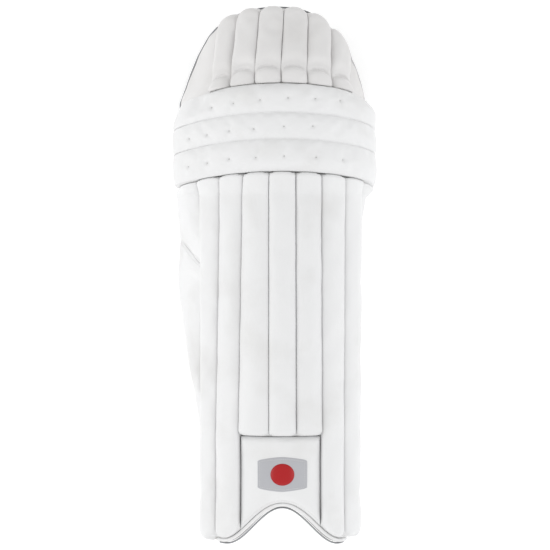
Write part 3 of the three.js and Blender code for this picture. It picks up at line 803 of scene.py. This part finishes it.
def instep_panel():
    """Flat padded panel over the foot: level in the middle and rounded off over its last 9 mm."""
    bottom = lambda s: bolster_foot(s, False)

    def heights(u, v, s, level):
        width = bolster_side(5, level) - bolster_side(2, level)
        k = rounding(u, v, width, panel_top - bottom(s), 9.0)
        uneven = 0.3 * waves(s, level, 60, 71) * k
        height = instep_panel_height * k + uneven
        # The crevice mark is painted shade along the rounded border.
        return raised(height, (1 - k) ** 2 * 0.3)

    left = lambda level, edge: bolster_side(2, level) + cover_gap
    right = lambda level, edge: bolster_side(5, level) - cover_gap
    panel("Instep_panel_cover", (left, right), (bottom, fixed(panel_top - cover_gap)), heights, WHITE_FINISH,
          ("instep_panel",), (56, 52))


def wing(name, sign, ends, nodes, counts, seed, head_share=1.0, flap_padding=0.0):
    """Padded side wing: a soft pillow between its sewn borders, with a few long shallow folds. head_share
    is below 1 where its head tucks under the lowest knee roll, and flap_padding is added there."""

    def heights(u, v, s, level):
        reach = wing_reach(sign, level) - backing_half_width
        k = rounding(u, v, np.maximum(reach, 6), 90, 4.0)
        full = wing_padding * np.clip(reach / wing_full_width, 0, 1)
        flap = flap_padding * np.clip((level - shin_head + flap_length) / flap_slant, 0, 1)
        pillow = np.clip(np.sin(np.pi * u) * np.sin(np.pi * head_share * v), 0, 1) ** 0.4
        folds = 0.7 * waves(s, level * 0.6, 55, seed) * pillow * np.clip(reach / wing_full_width, 0, 1)
        outer = wing_edge * k + (full + flap) * pillow + folds
        inner = -lining_thickness + 2.0 * (1 - k)
        # The crevice mark is painted shade along the sewn borders.
        return outer, inner, (1 - k) ** 2 * 0.8

    near = lambda level, edge: np.full(np.shape(level), backing_half_width + seam_gap)
    far = lambda level, edge: wing_reach(sign, level, edge)
    panel(name, outward(sign, near, far), ends, heights, WHITE_FINISH, nodes, counts,
          edges=(wing_edge, -lining_thickness))


def outward(sign, near, far):
    """The left and right sides of a panel between a near and a far distance on one side of the pad."""
    if sign > 0:
        return near, far
    return (lambda level, edge: -far(level, edge)), (lambda level, edge: -near(level, edge))


def wing_seam(s):
    """Diagonal seam across the outer wing, low at the bolsters and high at the back edge."""
    full = ground_reach(-1, knee_bottom, 0.0) - backing_half_width
    out = (np.abs(s) - backing_half_width) / full
    return panel_top + shin_bolster_length * (0.645 + 0.13 * out)


def side_wall(name, sign, bottom, top, nodes, counts, finish):
    """Side wall beside the knee or thigh, as thick as the lining and rounded off at its borders."""

    def heights(u, v, s, level):
        k = rounding(u, v, 60, top - bottom, 4.0)
        soft = 0.5 * waves(s, level, 45, 81 + counts[1]) * k
        outer = mix(-lining_thickness / 2, -0.4, k) + np.minimum(soft, 0.3)
        # The crevice mark is painted shade along the rounded borders.
        return outer, mix(-lining_thickness / 2, -lining_thickness + 0.2, k), (1 - k) ** 2 * 0.5

    near = lambda level, edge: backing_edge(level) + seam_gap
    far = lambda level, edge: np.maximum(side_reach(sign, level, edge), near(level, edge) + 2)
    panel(name, outward(sign, near, far), (fixed(bottom), fixed(top)), heights, finish, nodes, counts,
          edges=(0.0, -lining_thickness))


def sweep(name, path, middle, radii, finish, nodes=(), count=160, around=12):
    """A round or oval cord along a line on the face. path gives (s, level) at shares of its length. The
    cord's centre lies out by middle[0] from that line at height middle[1], and radii are its half width and
    half height. Both ends close to a point over the taper length."""
    t = np.linspace(0, 1, count)
    s, level = path(t)
    ds, dlevel = np.gradient(s, t), np.gradient(level, t)
    run = np.hypot(ds, dlevel)
    length = np.concatenate([[0], np.cumsum(np.hypot(np.diff(s), np.diff(level)))])
    near_end = np.minimum(length, length[-1] - length)
    k = np.sqrt(1 - (1 - np.clip(near_end / cord_taper, 0.03, 1)) ** 2)[:, None]
    angle = np.linspace(0, 2 * np.pi, around, endpoint=False)[None]
    out = middle[0] + radii[0] * np.cos(angle) * k
    height = middle[1] + radii[1] * np.sin(angle) * k
    across = (out * (dlevel / run)[:, None], -out * (ds / run)[:, None])
    rings = on_face(s[:, None] + across[0], level[:, None] + across[1], height)
    return tube(name, rings, finish, nodes)


def tube(name, rings, finish, nodes):
    """A closed tube through rings of points, with a fan at each end."""
    n, m = rings.shape[:2]
    a = np.arange(n - 1)[:, None] * m + np.arange(m)[None]
    b = np.arange(n - 1)[:, None] * m + (np.arange(m)[None] + 1) % m
    quads = np.stack([a, b, b + m, a + m], -1).reshape(-1, 4)
    ends = np.stack([rings[0].mean(0), rings[-1].mean(0)])
    ring, after = np.arange(m), (np.arange(m) + 1) % m
    start = np.stack([np.full(m, n * m), after, ring], -1)
    last = (n - 1) * m
    stop = np.stack([np.full(m, n * m + 1), last + ring, last + after], -1)
    vertices = np.concatenate([rings.reshape(-1, 3), ends])
    faces = quads.tolist() + start.tolist() + stop.tolist()
    first = rings[0] - ends[0]
    turn = np.cross(first[0], first[1]) @ (rings[1].mean(0) - ends[0])
    if turn > 0:
        faces = [face[::-1] for face in faces]
    around = np.tile(np.linspace(0, 12, m), n)
    along = np.repeat(np.linspace(0, 200, n), m)
    uv = np.concatenate([np.stack([around, along], -1), np.zeros((2, 2))])
    return make_piece(name, vertices, faces, finish, nodes, uv, np.zeros(len(vertices)))


def foot_edge(t):
    s = mix(-1, 1, t) * piped_half_width
    return s, foot_line(s)


def crest_edge(t):
    s = mix(1, -1, t) * 3 * thigh_top_pitch * 0.97
    return s, crest_line(s)


def side_edge(sign):
    """The free edge of a side wall, from the top of the knee to the top of the wall, or back on the left."""
    top = outer_side_top if sign < 0 else inner_side_top

    def path(t):
        level = mix(knee_top, top, t if sign > 0 else 1 - t)
        return sign * side_reach(sign, level), level

    return path


def roll_edge(level):
    def path(t):
        s = mix(-1, 1, t) * (knee_roll_half_length - 16)
        return s, np.full(np.shape(t), float(level))

    return path


def strap(name, level, width, reach, nodes, count=150):
    """A flat strap: held along the lining on each side, turned in a quadratic curve, then straight across
    behind the leg. Its edges are rounded off."""
    depth = -(lining_thickness + seam_gap + strap_thickness / 2)
    shares = np.linspace(-0.5, 0.5, 13)
    lines = []
    for share in shares:
        at = level + width * share

        def on_lining(sign, part):
            return on_face(sign * (reach(sign, at) - strap_hold * part), at, depth)

        corners = [on_lining(sign, 0.3) for sign in (-1, 1)]
        halves = []
        for sign, (corner, other) in ((-1, corners), (1, corners[::-1])):
            held = [on_lining(sign, part) for part in np.linspace(1.3, 0.72, 14)]
            a, c = on_lining(sign, 0.7), mix(corner, other, 0.15)
            bend = [(1 - q) ** 2 * a + 2 * q * (1 - q) * corner + q * q * c for q in np.linspace(0, 1, 22)]
            halves.append(held + bend)
        between = [mix(halves[0][-1], halves[1][-1], q) for q in np.linspace(0, 1, 40)[1:-1]]
        lines.append(np.array(halves[0] + between + halves[1][::-1]))
    middle = np.stack(lines, 1)
    along, across = np.gradient(middle, axis=0), np.gradient(middle, axis=1)
    normal = np.cross(across, along)
    normal /= np.linalg.norm(normal, axis=-1, keepdims=True)
    v = (shares + 0.5)[None]
    t = np.clip(np.minimum(v, 1 - v) * width / 1.4, 0.1, 1)
    half = strap_thickness / 2 * np.sqrt(t * (2 - t))[..., None]
    run = np.concatenate([[0], np.cumsum(np.linalg.norm(np.diff(middle[:, 6], axis=0), axis=-1))])
    uv = np.stack(np.broadcast_arrays(width * v, run[:, None]), -1)
    outer, inner = middle + normal * half, middle - normal * half
    piece = shell(name, outer, inner, (STRAP_WEB, "webbing"), nodes, uv, np.zeros(middle.shape[:2]))
    keep_cover(name, piece, run / run[-1], shares + 0.5, outer, inner)


def badge():
    """Plain patch on the instep panel, bowed at its top and bottom, with an edge that rounds down."""
    middle = mix(instep_depth, panel_top, badge_share_up)
    base = seam_gap + thin_edge + instep_panel_height

    def bow(s):
        out = np.clip(np.abs(s) / (badge_width / 2), 0, 1)
        return badge_length / 2 - 4.5 * out**1.5 - 1.8 * out**16

    def heights(u, v, s, level):
        k = rounding(u, v, badge_width, badge_length, 1.6)
        inward = np.minimum(np.minimum(u, 1 - u) * badge_width, np.minimum(v, 1 - v) * 40)
        rim = np.exp(-(((inward - 3) / 0.5) ** 2))
        # The crevice mark is painted shade in the groove inside the edge.
        return base + 0.3 + 1.7 * k - 0.35 * rim, np.full(u.shape, base - 0.6), 0.8 * rim

    sides = (fixed(-badge_width / 2), fixed(badge_width / 2))
    ends = (lambda s: middle - bow(s), lambda s: middle + bow(s))
    panel("Badge_patch", sides, ends, heights, (PATCH_GREY, "patch"), ("badge",), (70, 54), ease=(0.5, 0.5))


def badge_ball():
    """Plain red ball in low relief: a disc whose height follows a shallow dome."""
    middle = mix(instep_depth, panel_top, badge_share_up)
    base = seam_gap + thin_edge + instep_panel_height + 1.6
    radius = ball_diameter / 2
    turns = np.linspace(0, 2 * np.pi, 48, endpoint=False)
    distance, angle = np.meshgrid(spaced(16, 0.3), turns, indexing="ij")
    distance = np.maximum(distance, 0.02)[::-1]
    s, level = radius * distance * np.cos(angle), middle + radius * distance * np.sin(angle)
    dome = on_face(s, level, base + 0.4 + 2.4 * np.sqrt(np.clip(1 - distance**2, 0, 1)))
    rim = on_face(s[:1], level[:1], base)
    tube("Badge_ball", np.concatenate([rim, dome]), (BALL_RED, "ball_red"), ("badge_ball",))


def blurred(grid, times):
    """Each inner point moved to the mean of itself and its neighbours, first across the grid, then up it."""
    for _ in range(times):
        grid[1:-1] = (grid[:-2] + 2 * grid[1:-1] + grid[2:]) / 4
        grid[:, 1:-1] = (grid[:, :-2] + 2 * grid[:, 1:-1] + grid[:, 2:]) / 4
    return grid


def air_copy(cover, columns, rows, puckers, held_places):
    """A coarse closed copy of a cover with a cloth modifier: its inner side, its seams and its stitched
    places are held, and pressure swells the rest."""
    picks = [np.unique(np.linspace(0, size - 1, count).round().astype(int))
             for size, count in zip(cover["outer"].shape[:2], (columns, rows))]
    outer, inner = (cover[side][np.ix_(*picks)] for side in ("outer", "inner"))
    n, m = outer.shape[:2]
    start = np.concatenate([outer.reshape(-1, 3), inner.reshape(-1, 3)])
    mesh = bpy.data.meshes.new("Air")
    mesh.from_pydata((start * 0.001).tolist(), [], shell_faces(n, m))
    copy = bpy.data.objects.new("Air", mesh)
    bpy.context.scene.collection.objects.link(copy)
    places = [np.argmin(((outer.reshape(-1, 3) - place) ** 2).sum(-1)) for place in held_places]
    held = np.concatenate([border_of(n, m), np.arange(n * m, 2 * n * m), np.array(places, int)])
    copy.vertex_groups.new(name="Held").add(held.tolist(), 1.0, "REPLACE")
    modifier = copy.modifiers.new("Air", "CLOTH")
    cloth = modifier.settings
    cloth.quality = 5
    cloth.mass = 0.3
    cloth.tension_stiffness = cloth.compression_stiffness = 25.0
    cloth.shear_stiffness = 10.0
    cloth.bending_stiffness = 0.6
    cloth.shrink_min = -puckers
    cloth.vertex_group_mass = "Held"
    cloth.use_pressure = True
    cloth.uniform_pressure_force = 4.0
    cloth.effector_weights.gravity = 0.0
    modifier.point_cache.frame_start, modifier.point_cache.frame_end = 1, AIR_FRAMES
    return copy, picks, start


def spread(values, places, count, axis):
    """Values that are known at some places along one axis of a grid, read between them at every place."""
    return np.apply_along_axis(lambda line: np.interp(np.arange(count), places, line), axis, values)


def fill_with_air(fillings):
    """Swells covers in one cloth simulation: the coarse copies are stepped together, and how far their
    points moved, levelled off at a cap, is read between them, smoothed and added to the fine cover."""
    scene = bpy.context.scene
    copies = {}
    for name, (columns, rows, _, puckers, held_places) in fillings.items():
        copies[name] = air_copy(COVERS[name], columns, rows, puckers, held_places)
    for step in range(1, AIR_FRAMES + 1):
        scene.frame_set(step)
    graph = bpy.context.evaluated_depsgraph_get()
    for name, (copy, picks, start) in copies.items():
        cap = fillings[name][2]
        points = np.empty(start.size)
        copy.evaluated_get(graph).data.vertices.foreach_get("co", points)
        n, m = (len(pick) for pick in picks)
        move = (points.reshape(-1, 3) * 1000 - start)[: n * m].reshape(n, m, 3)
        length = np.maximum(np.linalg.norm(move, axis=-1, keepdims=True), 1e-9)
        move *= cap * np.tanh(length / cap) / length
        cover = COVERS[name]
        for axis in (0, 1):
            move = spread(move, picks[axis], cover["outer"].shape[axis], axis)
        cover["outer"] = cover["outer"] + blurred(move, 3)
        cover["outer"][..., 2] = np.maximum(cover["outer"][..., 2], 0)
        vertices = np.concatenate([cover["outer"].reshape(-1, 3), cover["inner"].reshape(-1, 3)]) * 0.001
        cover["piece"].data.vertices.foreach_set("co", vertices.astype(np.float32).ravel())
        cover["piece"].data.update()
        air = copy.data
        bpy.data.objects.remove(copy)
        bpy.data.meshes.remove(air)
    scene.frame_set(1)


def cover_at(name, u, v):
    """Points of a cover's outer side at shares (u, v) across and up it, and the normals there, both read
    between the four nearest points of its grid."""
    cover = COVERS[name]
    grid = cover["outer"]
    normals = np.cross(np.gradient(grid, axis=0), np.gradient(grid, axis=1))
    normals /= np.linalg.norm(normals, axis=-1, keepdims=True)
    i = np.interp(u, cover["across"], np.arange(len(cover["across"])))
    j = np.interp(v, cover["upward"], np.arange(len(cover["upward"])))
    i0, j0 = (np.clip(np.floor(k).astype(int), 0, count - 2) for k, count in zip((i, j), grid.shape))
    a, b = (i - i0)[:, None], (j - j0)[:, None]

    def read(array):
        lower = mix(array[i0, j0], array[i0 + 1, j0], a)
        return mix(lower, mix(array[i0, j0 + 1], array[i0 + 1, j0 + 1], a), b)

    return read(grid), read(normals)


def stitches(name, rows, gap, length, radius, finish):
    """Rows of stitches. Each row holds points along a line and the normals there. Each stitch is a short
    spindle with six sides that rises from the surface and goes back in."""
    shares = np.array([-0.5, -0.3, 0.0, 0.3, 0.5])
    sizes = np.array([0.3, 0.85, 1.0, 0.85, 0.3]) * radius
    rise = np.array([-0.5, 0.3, 0.6, 0.3, -0.5]) * radius
    angle = np.arange(6) * np.pi / 3
    groups = []
    for points, normals in rows:
        run = np.concatenate([[0], np.cumsum(np.linalg.norm(np.diff(points, axis=0), axis=-1))])
        middles = np.arange(gap / 2, run[-1] - gap / 4, gap)
        where = middles[:, None] + shares[None] * length
        spine = np.stack([np.interp(where, run, points[:, k]) for k in range(3)], -1)
        up = np.stack([np.interp(where, run, normals[:, k]) for k in range(3)], -1)
        forward = np.gradient(spine, axis=1)
        forward /= np.linalg.norm(forward, axis=-1, keepdims=True)
        side = np.cross(forward, up)
        ring = side[:, :, None] * np.cos(angle)[:, None] + up[:, :, None] * np.sin(angle)[:, None]
        groups.append((spine + up * rise[:, None])[:, :, None] + ring * sizes[:, None, None])
    spindles = np.concatenate(groups)
    a = np.arange(4)[:, None] * 6 + np.arange(6)[None]
    b = np.arange(4)[:, None] * 6 + (np.arange(6)[None] + 1) % 6
    quads = np.stack([a, b, b + 6, a + 6], -1).reshape(-1, 4)
    caps = np.array([[3, 2, 1, 0], [5, 4, 3, 0], [24, 25, 26, 27], [24, 27, 28, 29]])
    first_corners = 30 * np.arange(len(spindles))[:, None, None]
    faces = (np.concatenate([quads, caps])[None] + first_corners).reshape(-1, 4).tolist()
    vertices = spindles.reshape(-1, 3)
    flat_map, marks = np.zeros((len(vertices), 2)), np.zeros(len(vertices))
    make_piece(name, vertices, faces, finish, (), flat_map, marks)


# Pieces
backing_panel("Shin_lining", (foot_line, fixed(shin_head)), ("shin_backing",), (150, 150))
backing_panel("Knee_lining", (fixed(knee_bottom + seam_gap / 2), fixed(knee_top - seam_gap)),
              ("knee_backing",), (150, 40))
backing_panel("Thigh_lining", (fixed(knee_top + seam_gap / 2), crest_line), ("thigh_backing",), (130, 50))
for number in range(7):
    shin_bolster(number)
instep_panel()
badge()
badge_ball()
for number in range(3):
    knee_roll(number)
for number in range(6):
    thigh_bolster(number)
wing_foot = WING_WIDTHS[0][0]
lower_wing_ends = (fixed(wing_foot), lambda s: wing_seam(s) - seam_gap)
wing("Outer_wing_lower_cover", -1, lower_wing_ends, ("outer_wing_lower",), (26, 110), 91)
wing("Outer_wing_upper_cover", -1, (wing_seam, fixed(shin_head)), ("outer_wing_upper",), (30, 60), 92, 0.75,
     outer_flap_padding)
wing("Inner_wing_cover", 1, (fixed(wing_foot), fixed(shin_head)), ("inner_wing",), (30, 150), 93, 0.75,
     inner_flap_padding)
knee_side_foot = knee_bottom + seam_gap
knee_side_head = knee_top - seam_gap
for solid, sign, low, high, counts, finish in (
    ("outer_knee_side", -1, knee_side_foot, knee_side_head, (26, 44), WHITE_FINISH),
    ("outer_thigh_side", -1, knee_top, outer_side_top, (30, 52), FLAP_SHADED_FINISH),
    ("inner_knee_side", 1, knee_side_foot, knee_side_head, (26, 46), WHITE_FINISH),
    ("inner_thigh_side", 1, knee_top, inner_side_top, (30, 48), FLAP_SHADED_FINISH),
):
    side_wall(f"{solid.capitalize()}_cover", sign, low, high, (solid,), counts, finish)

# Each filled cover: coarse columns and rows, cap on its swelling in mm, slack of the leather, stitched places
FILLINGS = {f"Shin_bolster_{i + 1}_cover": (9, 60, 1.8, 0.008, ()) for i in range(7)}
FILLINGS |= {f"Thigh_bolster_{i + 1}_cover": (9, 24, 1.5, 0.02, ()) for i in range(6)}
FILLINGS |= {f"Knee_roll_{i + 1}_cover": (72, 12, 1.6, 0.012, roll_dimples(i)[0]) for i in range(3)}
FILLINGS |= {
    "Instep_panel_cover": (24, 24, 1.5, 0.01, ()),
    "Outer_wing_lower_cover": (12, 48, 2.5, 0.02, ()),
    "Outer_wing_upper_cover": (12, 26, 2.5, 0.03, ()),
    "Inner_wing_cover": (12, 60, 2.5, 0.02, ()),
    "Outer_knee_side_cover": (12, 20, 1.0, 0.02, ()),
    "Outer_thigh_side_cover": (14, 24, 1.0, 0.02, ()),
    "Inner_thigh_side_cover": (14, 22, 1.0, 0.02, ()),
}
fill_with_air(FILLINGS)

# Profiles of the cords: the place of the middle out from the edge and up, and the half width and half height
binding_profile = (
    (0.9 + binding_size * 0.4, -0.55 * lining_thickness),
    (binding_size * 0.4, 0.44 * lining_thickness),
)
piping_profile = (
    (-seam_gap - piping_size / 2 - 0.15, seam_gap + piping_size / 2),
    (piping_size / 2 + 0.45, piping_size / 2 + 0.2),
)
for name, edge, profile, finish, solid, count in (
    ("Foot_binding", foot_edge, binding_profile, (EDGE_GREY_SHADED, "binding"), "instep_binding", 220),
    ("Foot_piping", foot_edge, piping_profile, (PIPING, "leather"), "instep_piping", 220),
    ("Crest_binding_edge", crest_edge, binding_profile, (EDGE_GREY_SHADED, "binding"), "crest_binding", 160),
    ("Outer_side_edge", side_edge(-1), binding_profile, (EDGE_GREY_SHADED, "binding"), "outer_side_binding", 160),
    ("Inner_side_edge", side_edge(1), binding_profile, (PALE_EDGE, "binding"), "inner_side_binding", 160),
):
    sweep(name, edge, *profile, finish, (solid,), count)

welt_levels = [knee_bottom + sum(knee_roll_widths[:i]) for i in range(1, 3)]
for number, level in enumerate(welt_levels):
    sweep(f"Knee_welt_{number + 1}", roll_edge(level), (0.0, knee_roll_seam + 1.6), (0.9, 1.1),
          (PIPING, "leather"), (), 260, 10)

knee_strap_level = (knee_bottom + knee_top) / 2
calf_strap_level = knee_bottom - 0.22 * shin_bolster_length
ankle_strap_level = panel_top + 0.08 * shin_bolster_length
strap("Knee_strap_web", knee_strap_level, strap_width, side_reach, ("knee_strap",))
strap("Calf_strap_web", calf_strap_level, strap_width, wing_reach, ("calf_strap",))
strap("Ankle_strap_web", ankle_strap_level, ankle_strap_width, wing_reach, ("ankle_strap",))


def line_on(name, start, end, count=60, side=1.0):
    """A straight line on a cover between two places (u, v), as points and normals. side is -1 for a cover
    that is turned over."""
    u, v = (np.linspace(a, b, count) for a, b in zip(start, end))
    points, normals = cover_at(name, u, v)
    return points, normals * side


tack_length = 3.4
SEAM_THREAD, STRAP_THREAD = (THREAD, "leather"), (THREAD, "webbing")
panel_rows = [line_on("Instep_panel_cover", (0.04, v), (0.96, v), 90) for v in (0.035, 0.965)]
stitches("Instep_stitches", panel_rows, 3.4, 2.5, 0.32, SEAM_THREAD)
badge_corners = [(0.05, 0.07), (0.95, 0.07), (0.95, 0.93), (0.05, 0.93), (0.05, 0.07)]
badge_rows = [line_on("Badge_patch", *pair, 60) for pair in zip(badge_corners[:-1], badge_corners[1:])]
stitches("Badge_stitches", badge_rows, 2.6, 1.9, 0.26, SEAM_THREAD)
wing_rows = [line_on("Outer_wing_lower_cover", (0.03, 0.985), (0.97, 0.985), 70),
             line_on("Outer_wing_upper_cover", (0.03, 0.035), (0.97, 0.035), 70)]
stitches("Wing_stitches", wing_rows, 3.6, 2.6, 0.34, SEAM_THREAD)
dimple_rows = []
shift = np.array([tack_length / 2, 0, 0])
for number in range(3):
    for point, normal in zip(*roll_dimples(number)):
        dimple_rows.append((np.stack([point - shift, point + shift]), np.stack([normal, normal])))
stitches("Dimple_stitches", dimple_rows, tack_length, tack_length * 0.9, 0.45, (DIMPLE_THREAD, "leather"))
for strap_name in ("Knee_strap_web", "Calf_strap_web", "Ankle_strap_web"):
    edges = [line_on(strap_name, (0.01, v), (0.99, v), 200, -1.0) for v in (0.08, 0.92)]
    crosses = [line_on(strap_name, (u, 0.1), (u, 0.9), 30, -1.0) for u in (0.012, 0.1, 0.9, 0.988)]
    stitches(strap_name.replace("web", "stitches"), edges + crosses, 3.2, 2.3, 0.34, STRAP_THREAD)

# Floor, lights and camera
world_brightness = 0.72
light_aim = (0, 0, 0.1)
camera_lens = 91.5
camera_place = (0.0007, 0, 2.06)


def area_light(name, location, size, power, color):
    light = bpy.data.lights.new(name, "AREA")
    light.shape = "RECTANGLE"
    light.size, light.size_y = size
    light.energy = power
    light.color = color
    holder = bpy.data.objects.new(name, light)
    bpy.context.scene.collection.objects.link(holder)
    holder.location = location
    direction = Vector(light_aim) - Vector(location)
    holder.rotation_euler = direction.to_track_quat("-Z", "Y").to_euler()


def floor():
    """A plain pale floor that glows a little, so that it is as bright as the ground of the photograph."""
    mesh = bpy.data.meshes.new("Floor")
    mesh.from_pydata([(-4, -4, 0), (4, -4, 0), (4, 4, 0), (-4, 4, 0)], [], [(0, 1, 2, 3)])
    glow = {"Emission Color": (1, 1, 1, 1), "Emission Strength": 0.3}
    material, _, _ = finish_shader("Pale floor", {"Base Color": (0.9, 0.9, 0.9, 1), "Roughness": 0.9} | glow)
    mesh.materials.append(material)
    plane = bpy.data.objects.new("Floor", mesh)
    bpy.context.scene.collection.objects.link(plane)


floor()
scene = bpy.context.scene
scene.view_settings.view_transform = "Standard"
world = bpy.data.worlds.new("Studio")
scene.world = world
world.use_nodes = True
sky = world.node_tree.nodes["Background"].inputs
sky["Color"].default_value = (1, 1, 1, 1)
sky["Strength"].default_value = world_brightness
area_light("Left softbox", (-1.7, -0.1, 1.1), (1.4, 1.8), 12, (1, 1, 1))
area_light("Right softbox", (1.7, -0.2, 1.1), (1.4, 1.8), 10, (0.98, 0.99, 1))
area_light("Foot softbox", (0, -1.7, 1.3), (1.8, 1.2), 5, (1, 1, 1))

camera = bpy.data.cameras.new("Camera")
camera.lens = camera_lens
camera.sensor_width = 36
viewer = bpy.data.objects.new("Camera", camera)
scene.collection.objects.link(viewer)
viewer.location = camera_place
scene.camera = viewer
